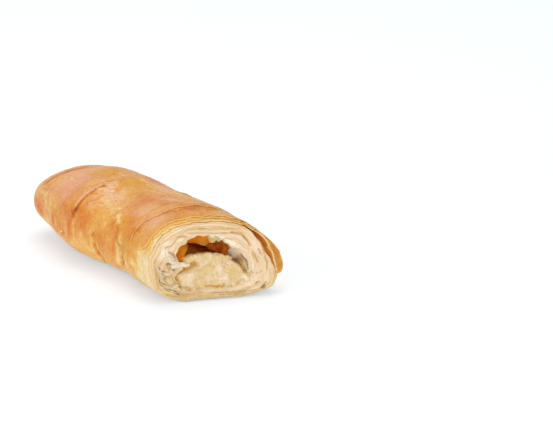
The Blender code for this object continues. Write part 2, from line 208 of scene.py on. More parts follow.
# Soft swellings and hollows: centre as (share, degrees), height, radius
SWELLINGS = in_metres(
    (1, 2),
    ((0.31, 68), 0.7, 10),
    ((0.59, 176), 1.0, 7),
    ((0.79, 172), 0.8, 7),
    ((0.70, 184), -0.7, 4),
    ((0.525, 196), -1.0, 3.5),
    ((0.30, 165), 0.7, 10),
    ((0.14, 186), -0.8, 5),
    ((0.16, 202), -1.4, 3.6),
    ((0.74, 80), 0.5, 12),
    ((0.50, 20), 0.8, 11),
    ((0.47, 100), -0.7, 9),
    ((0.97, -30), 2.0, 10),
    ((0.675, 168), 0.5, 2.2),
    ((0.61, 144), 0.45, 1.9),
    ((0.445, 146), 0.35, 2.2),
)
# Fans of fine wrinkles: centre as (share, degrees), radius along, radius round, depth
WRINKLES = in_metres(
    (1, 2, 3),
    ((0.465, 114), 8, 6, 0.34),
    ((0.27, 112), 9, 8, 0.16),
    ((0.12, 158), 8, 8, 0.18),
    ((0.42, 160), 5, 6, 0.26),
    ((0.66, 120), 12, 8, 0.14),
    ((0.60, 88), 14, 6, 0.16),
    ((0.78, 140), 7, 10, 0.20),
    ((0.70, 186), 8, 5, 0.24),
    ((0.45, 196), 9, 5, 0.20),
    ((0.22, 190), 7, 5, 0.20),
    ((0.30, 30), 14, 9, 0.20),
    ((0.60, 10), 12, 9, 0.22),
    ((0.10, 10), 8, 9, 0.18),
)

# How the baking coloured the skin: centre as (share, degrees), radius along, radius round, browning, warmth.
# Browning runs from pale to dark, warmth from ochre to peach. The small pale spots, with radii under 2 mm, are
# painted highlights on blisters and flakes.
BAKED = in_metres(
    (1, 2),
    ((0.085, 140), 5, 8, -0.10, 0.20),
    ((0.110, 159), 2.6, 3.0, -0.06, 0.40),
    ((0.103, 158), 1.6, 1.1, -0.22, 0.30),
    ((0.151, 156), 1.8, 0.8, -0.22, 0.30),
    ((0.190, 170), 4.0, 4.0, -0.10, 0.10),
    ((0.090, 180), 3.0, 3.0, 0.28, -0.40),
    ((0.125, 186), 3.0, 2.5, 0.12, -0.10),
    ((0.145, 142), 3.0, 2.6, 0.16, 0.00),
    ((0.205, 150), 3.6, 3.4, 0.02, 0.30),
    ((0.255, 122), 5.0, 6.0, -0.08, 1.30),
    ((0.275, 102), 4.5, 4.0, -0.06, 0.90),
    ((0.270, 142), 4.5, 4.0, 0.23, 0.40),
    ((0.320, 128), 5.0, 4.0, 0.19, 0.40),
    ((0.281, 143), 1.0, 0.8, -0.22, 0.60),
    ((0.311, 99), 3.6, 2.2, 0.00, -1.00),
    ((0.350, 86), 4.0, 3.0, 0.00, -1.30),
    ((0.253, 186), 1.8, 1.5, 0.24, 0.30),
    ((0.311, 180), 0.9, 1.0, -0.26, 0.10),
    ((0.320, 172), 4.0, 3.2, 0.12, -0.60),
    ((0.360, 163), 3.0, 4.0, 0.12, -0.30),
    ((0.400, 176), 3.4, 3.0, 0.08, -0.40),
    ((0.412, 156), 3.0, 2.6, 0.12, -0.15),
    ((0.455, 155), 3.5, 2.4, 0.10, -0.80),
    ((0.453, 169), 2.6, 3.4, 0.16, -0.10),
    ((0.453, 137), 2.0, 2.0, 0.11, 0.10),
    ((0.464, 147), 1.2, 1.3, -0.20, 0.40),
    ((0.442, 189), 5.0, 2.6, -0.16, 0.10),
    ((0.458, 90), 4.0, 2.6, 0.10, -1.80),
    ((0.496, 81), 3.6, 2.6, 0.06, -1.30),
    ((0.545, 97), 5.5, 3.2, 0.02, -1.00),
    ((0.455, 108), 3.6, 2.6, -0.30, 0.95),
    ((0.505, 118), 4.0, 3.4, -0.22, 0.60),
    ((0.550, 132), 3.6, 2.6, -0.08, -0.10),
    ((0.585, 142), 2.0, 2.0, 0.02, -1.70),
    ((0.675, 141), 2.4, 1.8, 0.06, -1.40),
    ((0.560, 150), 4.0, 4.0, -0.05, -0.20),
    ((0.505, 160), 2.6, 4.0, 0.02, -0.50),
    ((0.560, 177), 4.2, 3.6, 0.13, -0.80),
    ((0.610, 170), 3.0, 4.0, -0.02, -0.70),
    ((0.632, 157), 3.0, 3.0, 0.12, -0.50),
    ((0.505, 184), 3.0, 3.0, -0.19, -0.10),
    ((0.737, 119), 5.5, 3.6, 0.00, 0.35),
    ((0.655, 106), 3.6, 2.6, 0.25, -0.15),
    ((0.605, 97), 3.6, 2.0, 0.15, -0.30),
    ((0.660, 124), 3.0, 3.0, 0.18, -0.10),
    ((0.755, 100), 4.5, 2.6, 0.12, -0.40),
    ((0.800, 93), 3.0, 2.2, 0.10, -0.30),
    ((0.700, 92), 4.0, 2.2, 0.12, 0.00),
    ((0.620, 72), 9.0, 2.0, -0.14, 0.20),
    ((0.780, 82), 6.0, 1.8, 0.00, 0.00),
    ((0.740, 140), 3.6, 3.0, 0.12, -0.20),
    ((0.700, 158), 4.0, 4.0, 0.03, -0.50),
    ((0.755, 172), 6.5, 3.6, 0.15, -2.30),
    ((0.795, 153), 3.2, 3.6, 0.03, -0.70),
    ((0.800, 134), 3.2, 3.4, 0.16, 0.40),
    ((0.862, 78), 2.8, 3.6, 0.46, -1.80),
    ((0.865, 104), 3.2, 3.4, 0.15, -0.40),
    ((0.870, 131), 3.2, 4.0, -0.02, 0.50),
    ((0.920, 113), 3.0, 5.0, 0.17, 0.10),
    ((0.840, 172), 2.6, 2.6, 0.26, -1.00),
    ((0.96, 112), 3.0, 8.0, 0.02, -0.95),
    ((0.96, 86), 3.0, 5.0, 0.08, -0.80),
    ((0.48, 58), 3.0, 3.0, 0.36, 0.00),
    ((0.97, 54), 4.0, 4.0, 0.34, 0.10),
    ((0.76, 192), 12.0, 3.2, -0.16, -0.20),
    ((0.20, 200), 9.0, 4.0, -0.16, 0.00),
    ((0.93, 168), 5.0, 4.4, -0.14, -0.50),
    ((0.30, 20), 12.0, 8.0, 0.12, 0.00),
    ((0.60, 0), 10.0, 8.0, -0.06, -0.30),
    ((0.45, 20), 7.0, 7.0, 0.16, -0.30),
    ((0.12, 0), 7.0, 9.0, 0.10, 0.10),
    ((0.78, 20), 7.0, 9.0, 0.10, -0.20),
    ((0.62, 36), 5.0, 5.0, 0.14, -0.60),
    ((0.22, 48), 5.0, 4.0, 0.10, -0.40),
    ((0.36, 350), 6.0, 4.0, -0.10, 0.30),
    ((0.345, 148), 4.0, 4.0, 0.07, 0.00),
    ((0.400, 86), 2.6, 3.0, -0.07, 0.50),
    ((0.680, 175), 2.6, 2.6, -0.12, -0.20),
    ((0.475, 128), 3.0, 2.2, 0.11, -0.90),
    ((0.610, 115), 3.0, 3.0, 0.05, -0.10),
    ((0.545, 82), 4.0, 1.8, 0.05, 0.00),
    ((0.870, 168), 3.0, 3.0, 0.05, -0.30),
    ((0.900, 355), 6.0, 8.0, -0.14, -0.30),
)
# Lines on the skin: their way as (share, degrees), width on either side in mm, browning, warmth, rise in mm.
# Pale lines on raised lips and ridges are painted highlights, dark lines in sunk creases are painted shade,
# and the wide strips are browning.
SKIN_LINES = [
    (((0.098, 137), (0.129, 123), (0.150, 112), (0.176, 101), (0.200, 92)), 1.6, 0.27, -1.00, -0.03),
    (((0.116, 137), (0.147, 123), (0.169, 112), (0.197, 101), (0.226, 91)), 0.40, 0.27, -0.70, -0.14),
    (((0.131, 138), (0.163, 124), (0.185, 113), (0.213, 102), (0.241, 93)), 0.55, -0.16, 0.60, 0.14),
    (((0.4215, 110), (0.414, 122), (0.407, 135), (0.4003, 146), (0.3923, 159)), 0.32, 0.38, -0.20, -0.20),
    (((0.411, 117), (0.4037, 129), (0.3963, 141), (0.389, 153)), 0.42, -0.24, 0.60, 0.16),
    (((0.3955, 154), (0.389, 165)), 0.8, 0.20, -0.20, -0.05),
    (((0.377, 159), (0.388, 163), (0.398, 166)), 0.45, 0.20, -0.2, -0.12),
    (((0.690, 184), (0.760, 183), (0.830, 181)), 0.9, -0.16, 0.1, 0.10),
    (((0.383, 167), (0.369, 178), (0.362, 188)), 0.9, 0.16, 0.1, -0.12),
    (((0.399, 167), (0.391, 176), (0.398, 186)), 0.7, -0.18, 0.3, 0.12),
    (((0.345, 176), (0.352, 186)), 0.6, -0.12, 0.3, 0.10),
    (((0.692, 164), (0.683, 172), (0.676, 181), (0.668, 193)), 1.1, -0.28, -0.3, 0.25),
    (((0.710, 168), (0.700, 178), (0.698, 190)), 0.6, 0.14, -0.2, -0.20),
    (((0.656, 164), (0.650, 174), (0.642, 186)), 0.6, 0.14, -0.1, -0.20),
    (((0.618, 139), (0.632, 144), (0.646, 148)), 1.0, -0.38, 0.2, 0.35),
    (((0.606, 143), (0.622, 150)), 0.5, 0.14, -0.6, -0.15),
    (((0.120, 162), (0.146, 170)), 0.6, 0.12, -0.5, -0.12),
    (((0.470, 75), (0.540, 70), (0.600, 71)), 0.9, -0.16, 0.3, 0.08),
    (((0.520, 79), (0.600, 77), (0.660, 80)), 0.6, -0.16, 0.4, 0.10),
    (((0.560, 88), (0.640, 84), (0.720, 90)), 0.6, -0.14, 0.4, 0.10),
    (((0.690, 92), (0.760, 88), (0.820, 84)), 0.6, -0.14, 0.5, 0.10),
    (((0.580, 110), (0.630, 99), (0.680, 95)), 0.8, 0.10, 0.4, -0.06),
    (((0.752, 136), (0.772, 126), (0.772, 114)), 0.4, 0.20, 0.1, -0.12),
    (((0.782, 160), (0.800, 147)), 1.6, 0.16, 0.4, -0.05),
    (((0.700, 128), (0.740, 120), (0.760, 105)), 0.6, -0.12, 0.4, 0.10),
    (((0.640, 122), (0.700, 108), (0.740, 98)), 0.5, 0.10, 0.2, -0.08),
    (((0.508, 184), (0.513, 190), (0.520, 198)), 0.5, 0.34, 0.0, -0.60),
    (((0.530, 182), (0.540, 192)), 0.7, -0.16, -0.2, 0.20),
    (((0.232, 178), (0.262, 190)), 0.7, 0.20, 0.3, -0.25),
    (((0.205, 176), (0.232, 190)), 0.7, -0.16, 0.2, 0.15),
    (((0.300, 152), (0.330, 160), (0.345, 168)), 0.5, 0.10, 0.0, -0.10),
    (((0.222, 160), (0.240, 172)), 0.5, 0.10, 0.1, -0.10),
    (((0.172, 150), (0.200, 158), (0.215, 168)), 0.5, -0.12, 0.4, 0.10),
    (((0.120, 148), (0.140, 152), (0.170, 150)), 0.5, 0.12, 0.2, -0.08),
    (((0.425, 120), (0.440, 112), (0.462, 104)), 0.45, -0.22, 0.0, 0.14),
    (((0.430, 132), (0.452, 124), (0.480, 116)), 0.45, -0.22, 0.3, 0.14),
    (((0.445, 142), (0.470, 132), (0.505, 127)), 0.45, -0.22, 0.4, 0.14),
    (((0.490, 138), (0.520, 129), (0.556, 124)), 0.45, -0.20, 0.4, 0.12),
    (((0.540, 140), (0.570, 131), (0.600, 128)), 0.45, -0.16, 0.3, 0.10),
    (((0.480, 108), (0.520, 112), (0.548, 108)), 0.45, 0.12, -0.2, -0.12),
    (((0.425, 112), (0.445, 104), (0.470, 98)), 0.40, 0.14, -0.1, -0.14),
    (((0.845, 120), (0.860, 100), (0.870, 85)), 0.8, 0.16, 0.3, 0.0),
    (((0.822, 146), (0.826, 136), (0.845, 125)), 0.8, 0.14, 0.3, 0.0),
]


def add_fine_wrinkles():
    """Short wrinkles in the places where the sheet is crumpled: raised ones paler, a painted highlight, and
    sunk ones darker, a painted shade.
    """
    dice = random.Random(8)
    zones = (
        ((0.47, 118), 0.050, 13, 34, 0.8),
        ((0.57, 132), 0.040, 9, 12, 0.7),
        ((0.13, 160), 0.035, 12, 12, 0.8),
        ((0.42, 108), 0.030, 9, 10, 0.7),
        ((0.62, 146), 0.030, 6, 8, 0.7),
        ((0.72, 186), 0.060, 8, 12, 0.8),
        ((0.30, 184), 0.060, 7, 12, 0.8),
        ((0.35, 30), 0.090, 20, 18, 0.9),
        ((0.65, 10), 0.090, 20, 18, 0.9),
    )
    for (share, angle), spread_share, spread_angle, count, size in zones:
        for _ in range(count):
            at_share = share + dice.gauss(0, spread_share * 0.6)
            at_angle = angle + dice.gauss(0, spread_angle * 0.6)
            turn = dice.gauss(-0.5, 0.6)
            reach = size * dice.uniform(0.8, 2.0)
            run_share = reach * math.cos(turn) * MM / LENGTH
            run_angle = math.degrees(reach * math.sin(turn) * MM / SKIN_RADIUS)
            start = (at_share - run_share, at_angle - run_angle)
            ends = (start, (at_share + run_share, at_angle + run_angle))
            if dice.random() < 0.6:
                SKIN_LINES.append((ends, 0.36, -0.22, dice.uniform(0.0, 0.6), 0.16))
            else:
                SKIN_LINES.append((ends, 0.36, 0.16, dice.uniform(-0.4, 0.2), -0.16))


add_fine_wrinkles()

# Creases between the wraps on the cut: their way as (y, z) in mm, half width, depth, how strongly a painted
# olive shade darkens them
CREASES = (
    (((-11.6, 22.2), (-9.8, 22.7), (-8.2, 24.1), (-7.2, 26.0), (-5.7, 26.3), (-4.2, 26.1)), 0.45, 0.9, 0.8),
    (((-3.7, 27.2), (-0.3, 27.1), (4.0, 26.6), (8.6, 26.2), (11.9, 26.1)), 0.35, 0.6, 0.7),
    (((11.9, 26.1), (15.0, 25.4), (16.3, 23.4), (17.4, 20.8)), 0.50, 0.9, 1.0),
    (((-3.6, 28.8), (2.3, 28.5), (8.8, 27.8), (14.6, 27.7)), 0.22, 0.4, 0.35),
    (((8.7, 23.9), (9.9, 24.1), (11.4, 23.1)), 0.35, 0.5, 0.7),
    (((18.3, 17.5), (19.1, 16.0), (19.6, 13.8)), 0.50, 0.6, 0.7),
    (((-16.4, 15.1), (-14.9, 18.5), (-13.4, 21.2), (-11.7, 23.5)), 0.25, 0.4, 0.35),
    (((20.1, 23.7), (21.7, 20.0), (22.3, 16.7), (22.7, 13.5), (22.4, 10.6)), 0.30, 0.7, 0.9),
    (((-15.1, 15.7), (-15.5, 12.8), (-15.1, 9.9), (-13.8, 7.3), (-12.4, 5.4), (-9.5, 3.6)), 0.25, 0.5, 0.4),
    (((18.6, 9.2), (20.8, 9.9)), 0.30, 0.5, 0.6),
    (((-6.5, 2.7), (-2.4, 3.5), (3.7, 2.9), (9.6, 2.5), (14.3, 3.1), (18.8, 4.8)), 0.40, 0.4, 0.35),
    (((-16.7, 20.1), (-15.5, 21.2), (-13.8, 23.7), (-11.5, 25.0), (-9.8, 25.8)), 0.22, 0.4, 0.3),
    (((20.3, 18.7), (21.2, 16.8)), 0.45, 0.8, 0.5),
    (((13.8, 9.0), (16.4, 11.5), (18.0, 15.0), (18.2, 18.3)), 0.22, 0.3, 0.2),
)
# Torn places on the cut, in the same columns, with how much painted shade darkens them in the last one
CRACKS = (
    (((-10.3, 20.1), (-9.3, 19.4), (-8.5, 18.2), (-8.4, 17.8)), 0.50, 1.2, 0.45),
    (((-11.2, 15.7), (-10.1, 15.3)), 0.30, 1.5, 0.8),
    (((-11.1, 15.2), (-10.9, 13.9)), 0.70, 1.0, 0.35),
    (((-14.5, 9.4), (-13.6, 8.4), (-12.5, 7.1)), 0.30, 1.1, 0.7),
    (((-12.1, 5.8), (-11.7, 5.4)), 0.40, 1.3, 0.9),
    (((-9.9, 4.4), (-8.6, 3.3)), 0.34, 1.5, 1.0),
    (((-9.6, 13.1), (-9.2, 12.9)), 0.30, 1.3, 0.8),
    (((-7.6, 5.9), (-7.4, 5.0)), 0.28, 0.9, 0.5),
    (((-14.8, 14.5), (-14.6, 13.9)), 0.34, 1.2, 0.8),
    (((20.2, 3.1), (21.7, 5.3)), 0.26, 1.5, 1.0),
    (((20.9, 3.0), (21.4, 3.9)), 0.20, 1.0, 0.7),
    (((18.4, 5.2), (19.5, 5.8)), 0.25, 0.8, 0.5),
    (((-13.0, 12.6), (-12.0, 10.8), (-12.6, 9.7)), 0.60, 0.9, 0.35),
)
# Where one wrap passes into the next, as part of the way from the crust to the hollow
WRAP_EDGES = (0.16, 0.34, 0.52, 0.70, 0.86)
SQUASHED_SIDE = math.radians(205)
SQUASHED_HALF_SPAN = math.radians(66)


def noise_at(x, y, z):
    """Smooth noise at this place, from about -1 to 1."""
    return noise.noise(Vector((x, y, z)))


def smooth(t):
    """Smooth step from 0 at t = 0 to 1 at t = 1."""
    t = min(max(t, 0.0), 1.0)
    return t * t * (3 - 2 * t)


def signed_power(value, power):
    """The power of the value's size, with the sign of the value."""
    return math.copysign(abs(value) ** power, value)


def curve(table, place_on_table, column=1):
    """A column of the table, read on a smooth curve through its rows."""
    last = len(table) - 1
    k = 0
    while k < last - 1 and place_on_table > table[k + 1][0]:
        k += 1
    before, start, end, after = (table[min(max(n, 0), last)] for n in (k - 1, k, k + 1, k + 2))
    t = (place_on_table - start[0]) / (end[0] - start[0])
    t = min(max(t, 0.0), 1.0)
    slope_in = (end[column] - before[column]) / 2
    slope_out = (after[column] - start[column]) / 2
    return (
        (2 * t**3 - 3 * t**2 + 1) * start[column]
        + (t**3 - 2 * t**2 + t) * slope_in
        + (3 * t**2 - 2 * t**3) * end[column]
        + (t**3 - t**2) * slope_out
    )


def angle_apart(a, b):
    """Signed turn from angle b to angle a, in radians, between -pi and pi."""
    return (a - b + math.pi) % (2 * math.pi) - math.pi


def bump(angle, middle, half_span):
    """1 at the middle angle, falling smoothly to 0 at half_span from it."""
    return smooth(1 - abs(angle_apart(angle, middle)) / half_span)


def ridge(share, angle, row):
    """Height of a fold's or lap's lip here, and how far it slides over along the length and round."""
    (share_a, angle_a), (share_b, angle_b), lip, reach, overhang, lip_side = row
    px = (share - share_a) * LENGTH
    if abs(px) > 40 * MM:
        return 0.0, 0.0, 0.0
    py = angle_apart(angle, math.radians(angle_a)) * SKIN_RADIUS
    run_x = (share_b - share_a) * LENGTH
    run_y = math.radians(angle_b - angle_a) * SKIN_RADIUS
    length = math.hypot(run_x, run_y)
    t = (px * run_x + py * run_y) / length**2
    if not -0.15 < t < 1.15:
        return 0.0, 0.0, 0.0
    fade = smooth((t + 0.12) / 0.24) * smooth((1.12 - t) / 0.24)
    turned = -1 if run_y > 0 else 1
    side = lip_side * turned * (px * run_y - py * run_x) / length
    side += 0.24 * MM * noise_at(t * length / (3.1 * MM), 7.0, lip / MM * 9)
    side += 0.12 * MM * noise_at(t * length / (1.1 * MM), 3.0, lip / MM * 9)
    over = smooth(side / (0.45 * MM) + 0.5)
    low = -0.35 * lip * math.exp(min(side, 0.0) / (0.3 * reach))
    high = lip * math.exp(-max(side, 0.0) / reach)
    height = (low + (high - low) * over) * fade
    slide = -overhang * over * math.exp(-max(side, 0.0) / (0.9 * MM)) * fade * lip_side * turned
    return height, slide * run_y / length, -slide * run_x / length


def streaks(share, angle, along, across):
    """Noise drawn out round the roll, with its lines a little aslant."""
    turned = angle - 1.4 * share
    spot = (
        math.cos(turned) * SKIN_RADIUS / along,
        math.sin(turned) * SKIN_RADIUS / along,
        (share * LENGTH + 0.35 * SKIN_RADIUS * math.sin(angle)) / across,
    )
    return noise.noise(Vector(spot))


def on_skin(share, angle):
    """This spot on a round roll, as a place for noise."""
    return Vector((share * LENGTH, math.cos(angle) * SKIN_RADIUS, math.sin(angle) * SKIN_RADIUS))


def patch(share, angle, centre, radius_x, radius_t, limit=2.2):
    """1 at the centre (share, degrees) of an oval patch, falling off along the roll and round it."""
    dx = (share - centre[0]) * LENGTH / radius_x
    if abs(dx) > limit:
        return 0.0
    dt = angle_apart(angle, math.radians(centre[1])) * SKIN_RADIUS / radius_t
    return math.exp(-(dx * dx + dt * dt))


def skin_relief(share, angle):
    """Height of the skin's relief, with its slide along the length and round the roll."""
    height = 0.0
    along = 0.0
    across = 0.0
    for row in FOLDS + LAPS:
        rise, slide_along, slide_round = ridge(share, angle, row)
        height += rise
        along += slide_along
        across += slide_round
    for centre, rise, radius in SWELLINGS:
        height += rise * patch(share, angle, centre, radius, radius, limit=2.5)
    place_on_skin = on_skin(share, angle)
    height += 0.55 * MM * noise.noise(place_on_skin / BROAD_WAVES)
    height += 0.25 * MM * noise.noise(place_on_skin * (2.3 / BROAD_WAVES))
    height += 0.22 * MM * noise.noise(place_on_skin / SMALL_WAVES)
    height += 0.11 * MM * noise.noise(place_on_skin / BLISTERS)
    creased = 0.05 * MM
    for centre, radius_x, radius_t, depth in WRINKLES:
        creased += depth * patch(share, angle, centre, radius_x, radius_t)
    lines = abs(streaks(share, angle, 9 * MM, 1.5 * MM))
    lines += 0.6 * abs(streaks(share, angle + 3, 5 * MM, 0.8 * MM))
    height += creased * (0.45 - 1.5 * lines)
    height += skin_lines(share, angle)[2]
    return height, along, across


def nose(share):
    """Scale of the section where the closed end rounds off."""
    left = 1 - min(share * LENGTH / NOSE_LENGTH, 1.0)
    return max(1 - left**NOSE_POWER, 0.0) ** (1 / NOSE_POWER)


def unrolled(share, degrees):
    """The skin laid out flat, in metres."""
    return Vector((share * LENGTH, math.radians(degrees) * SKIN_RADIUS))


def way_distance(spot, way):
    """Distance from the spot to the line through the points."""
    nearest = 1.0
    for a, b in zip(way, way[1:]):
        ab = b - a
        t = min(max((spot - a).dot(ab) / ab.length_squared, 0.0), 1.0)
        nearest = min(nearest, (spot - a - ab * t).length)
    return nearest


def box_round(points, margin):
    """Lowest and highest x, then lowest and highest y, of a box that holds the points with this margin."""
    xs = [point.x for point in points]
    ys = [point.y for point in points]
    return min(xs) - margin, max(xs) + margin, min(ys) - margin, max(ys) + margin


LINE_FADE = 2.6  # widths beyond which a line on the skin no longer counts


def skin_line_table():
    """The lines on the skin in metres, filed by millimetre of the length."""
    filed = {}
    for way, width, browning_and_painted_light, warmth_and_sheen, rise in SKIN_LINES:
        points = [unrolled(*point) for point in way]
        box = box_round(points, LINE_FADE * width * MM)
        row = (points, width * MM, browning_and_painted_light, warmth_and_sheen, rise * MM, box)
        for k in range(math.floor(box[0] / MM), math.floor(box[1] / MM) + 1):
            filed.setdefault(k, []).append(row)
    return filed


filed_lines = skin_line_table()


def skin_lines(share, angle):
    """Browning, warmth and rise that the lines on the skin give here. The browning and warmth hold painted
    highlights on raised lines and painted shade in sunk ones.
    """
    browning_and_painted_light = 0.0
    warmth_and_sheen = 0.0
    rise = 0.0
    spot = unrolled(share, math.degrees(angle) % 360)
    if spot.y > math.radians(300) * SKIN_RADIUS:
        spot.y -= 2 * math.pi * SKIN_RADIUS
    for points, width, brown, warm, height, box in filed_lines.get(math.floor(spot.x / MM), ()):
        if box[2] < spot.y < box[3] and box[0] < spot.x < box[1]:
            wobble = 1 + 0.35 * noise_at(spot.x / (1.9 * MM), spot.y / (1.9 * MM), 3.0)
            near = way_distance(spot, points) / (width * wobble)
            if near < LINE_FADE:
                amount = math.exp(-near * near)
                browning_and_painted_light += brown * amount
                warmth_and_sheen += warm * amount
                rise += height * amount
    return browning_and_painted_light, warmth_and_sheen, rise


def section_middle(share):
    """Middle (y, z) of the roll's section."""
    full_height = 2 * curve(STATIONS, share, 1) / WIDTH_TO_HEIGHT
    return curve(STATIONS, share, 2), full_height * AXIS_HEIGHT


def skin(share, angle, sunk=0.0, lifted=0.0, relief=None):
    """Point (y, z) of the outer skin, sunk towards the section's middle or lifted away from it."""
    scale = nose(share)
    half_width = curve(STATIONS, share, 1)
    full_height = 2 * half_width / WIDTH_TO_HEIGHT
    middle_y, middle_z = section_middle(share)
    rise = (full_height - middle_z) * scale
    drop = (middle_z + PRESSED_FLAT) * scale
    across = signed_power(math.cos(angle), SIDE_POWER) * half_width * scale
    up = math.sin(angle)
    high = rise * abs(up) ** TOP_POWER if up >= 0 else -drop * abs(up) ** UNDERSIDE_POWER
    reach = math.hypot(across, high)
    if relief is None:
        relief = skin_relief(share, angle)[0]
    relief *= scale * (1 - smooth(-up * 2.5 - 1.2))
    squeeze = 1 - (1 - UNDERSIDE_SQUEEZE) * smooth(-up * 1.6)
    grown = 1 + relief / max(reach, 1 * MM)
    y = middle_y + across * grown
    z = max(middle_z + high * grown, 0.0)
    to_middle = Vector((middle_y - y, middle_z - z))
    if to_middle.length > 0:
        to_middle.normalize()
    step = (sunk - lifted) * squeeze
    return y + to_middle.x * step, z + to_middle.y * step


def place(share, y, z):
    """A point of the roll, with the rings turned steadily towards the slant of the cut."""
    slant = (y - CUT_MIDDLE_Y) * math.tan(CUT_SLANT) - (z - CUT_MIDDLE_Z) * math.tan(CUT_LEAN)
    towards_cut = max((share - SLANT_START) / (1 - SLANT_START), 0.0) ** 1.5
    return Vector((share * LENGTH + slant * towards_cut, y, z))


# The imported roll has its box's bottom centre at the origin. Its tip gives the way there from the form above.
tip = min((v.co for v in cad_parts["pastry"].data.vertices), key=lambda co: co.x)
TO_FRAME = tip - place(0.0, *section_middle(0.0))


def ragged(angle, number):
    """Uneven line of a broken leaf, as a share of the length."""
    wave = math.sin(7 * angle + number) + 0.6 * math.sin(17 * angle + 2.3 * number)
    wave += 0.4 * math.sin(29 * angle)
    spot = Vector((math.cos(angle) * 6, math.sin(angle) * 6, 5.3 * number))
    torn = noise.noise(spot * 1.6) + 0.6 * noise.noise(spot * 4.1) + 0.35 * noise.noise(spot * 9.7)
    nick = max(noise.noise(spot * 3.3 + Vector((9, 4, 1))) - 0.32, 0.0) * 5
    return (0.26 * wave / 1.4 + 0.60 * torn - 0.7 * nick) * MM / LENGTH


def leaf_end(number, angle):
    """Share of the length where a leaf ends."""
    top, near, far, span = LEAVES[number][:4]
    end = top + (far - top) * bump(angle, FAR_SIDE, span)
    end += (near - top) * smooth(3 * bump(angle, NEAR_SIDE, NEAR_HALF_SPAN))
    end += ragged(angle, number) * (0.45 if number == 0 else 1.0)
    if number == 0:
        end -= curve(CRUST_ENDS_EARLIER, min(max(math.degrees(angle % (2 * math.pi)), 40), 190))
    low = smooth(-math.sin(angle) * 2.2 - 0.6)
    return end + (UNDERSIDE_END + 0.006 * number - end) * low


def leaf_curl(number, angle, share):
    """How far a leaf curls out at this place."""
    span, curl, depth = LEAVES[number][3:6]
    near_end = 1 - (leaf_end(number, angle) - share) * LENGTH / depth
    loose = 0.3 * noise_at(math.cos(angle) * 5, math.sin(angle) * 5, 3.1 * number)
    lip = max(loose, 0.0) * MM * smooth(1 - (leaf_end(number, angle) - share) * LENGTH / (2.2 * MM))
    return curl * bump(angle, FAR_SIDE, span) * smooth(near_end) ** 1.4 + lip * max(math.sin(angle), 0.0)


def leaf_foot(number, angle):
    """Share of the length of the foot of the gap behind a leaf's edge."""
    span, _, far_depth = LEAVES[number][3:6]
    depth = EDGE_GAP_DEPTH + (far_depth - EDGE_GAP_DEPTH) * bump(angle, FAR_SIDE, span)
    return leaf_end(number, angle) - depth / LENGTH


def core_middle(share):
    """Middle (y, z) of the filling's section."""
    return curve(STATIONS, share, 2) + CORE_SHIFT, CORE_HEIGHT


def from_core(share, angle, reach):
    """A point of the roll at this reach from the middle of the filling."""
    middle_y, middle_z = core_middle(share)
    return place(share, middle_y + math.cos(angle) * reach, middle_z + math.sin(angle) * reach)


def filling_reach(share, angle):
    """Radius of the filling about its middle."""
    taper = smooth((share - FILLING_START) / FILLING_TAPER) ** 0.5
    rounding = 1.9 - 0.3 * math.sin(angle)
    vertical = FILLING_RISE if math.sin(angle) > 0 else FILLING_DROP
    across = abs(math.cos(angle)) / FILLING_HALF_WIDTH
    high = abs(math.sin(angle)) / vertical
    shoulder = FILLING_SHOULDER * bump(angle, math.radians(135), math.radians(38))
    notch = NOTCH * bump(angle, NOTCH_SIDE, NOTCH_HALF_SPAN)
    notch *= smooth(1 - (1 - share) * LENGTH / NOTCH_DEPTH)
    return ((across**rounding + high**rounding) ** (-1 / rounding) + shoulder) * taper - notch


def air_gap(share, angle):
    """Height of the air gap over the filling."""
    depth = (1 - share) * LENGTH
    inward = (1 + 0.12 * smooth(depth / (6 * MM))) * smooth((AIR_GAP_DEPTH - depth) / (0.6 * AIR_GAP_DEPTH))
    turn = math.degrees(angle_apart(angle, math.pi / 2)) + 90
    if not AIR_GAP_PROFILE[0][0] < turn < AIR_GAP_PROFILE[-1][0]:
        return 0.0
    return max(curve(AIR_GAP_PROFILE, turn), 0.0) * inward


def hollow(share, angle):
    """Point (y, z) of the wall round the filling and the air gap."""
    middle_y, middle_z = core_middle(share)
    gap = air_gap(share, angle)
    reach = filling_reach(share, angle) + FIT_GAP + gap
    depth = (1 - share) * LENGTH
    free = smooth(gap / (2.5 * MM))
    spot = Vector((depth / (3.2 * MM), math.cos(angle) * 4.2, math.sin(angle) * 4.2))
    torn = noise_at(math.cos(angle) * 7, math.sin(angle) * 7, 4.0)
    torn += 0.35 * noise_at(math.cos(angle) * 17, math.sin(angle) * 17, 2.0)
    reach += free * (0.45 * MM * noise.noise(spot) + 0.25 * MM * noise.noise(spot * 2.7))
    reach += free * 0.70 * MM * torn * math.exp(-depth / (1.2 * MM))
    return middle_y + math.cos(angle) * reach, middle_z + math.sin(angle) * reach


def even_angles(count):
    """Angles spaced evenly over a full turn."""
    return [2 * math.pi * k / count for k in range(count)]


def skin_angles(count):
    """Angles that space the columns evenly round the skin."""
    steps_round = 1440
    fine = even_angles(steps_round)
    points = [Vector(skin(0.9, a, relief=0.0)) for a in fine]
    steps = [(points[(k + 1) % steps_round] - points[k]).length for k in range(steps_round)]
    spacing = sum(steps) / count
    angles = []
    walked = 0.0
    for angle, step in zip(fine, steps):
        if walked >= len(angles) * spacing:
            angles.append(angle)
        walked += step
    return angles[:count]


# ---------------------------------------------------------------------------
# Making the pieces
# ---------------------------------------------------------------------------
def deselect_all():
    """Leaves any edit mode and selects nothing."""
    if bpy.context.object and bpy.context.object.mode != "OBJECT":
        bpy.ops.object.mode_set(mode="OBJECT")
    bpy.ops.object.select_all(action="DESELECT")


def hold(piece):
    """Makes this the only selected piece, and the active one."""
    deselect_all()
    piece.select_set(True)
    bpy.context.view_layer.objects.active = piece


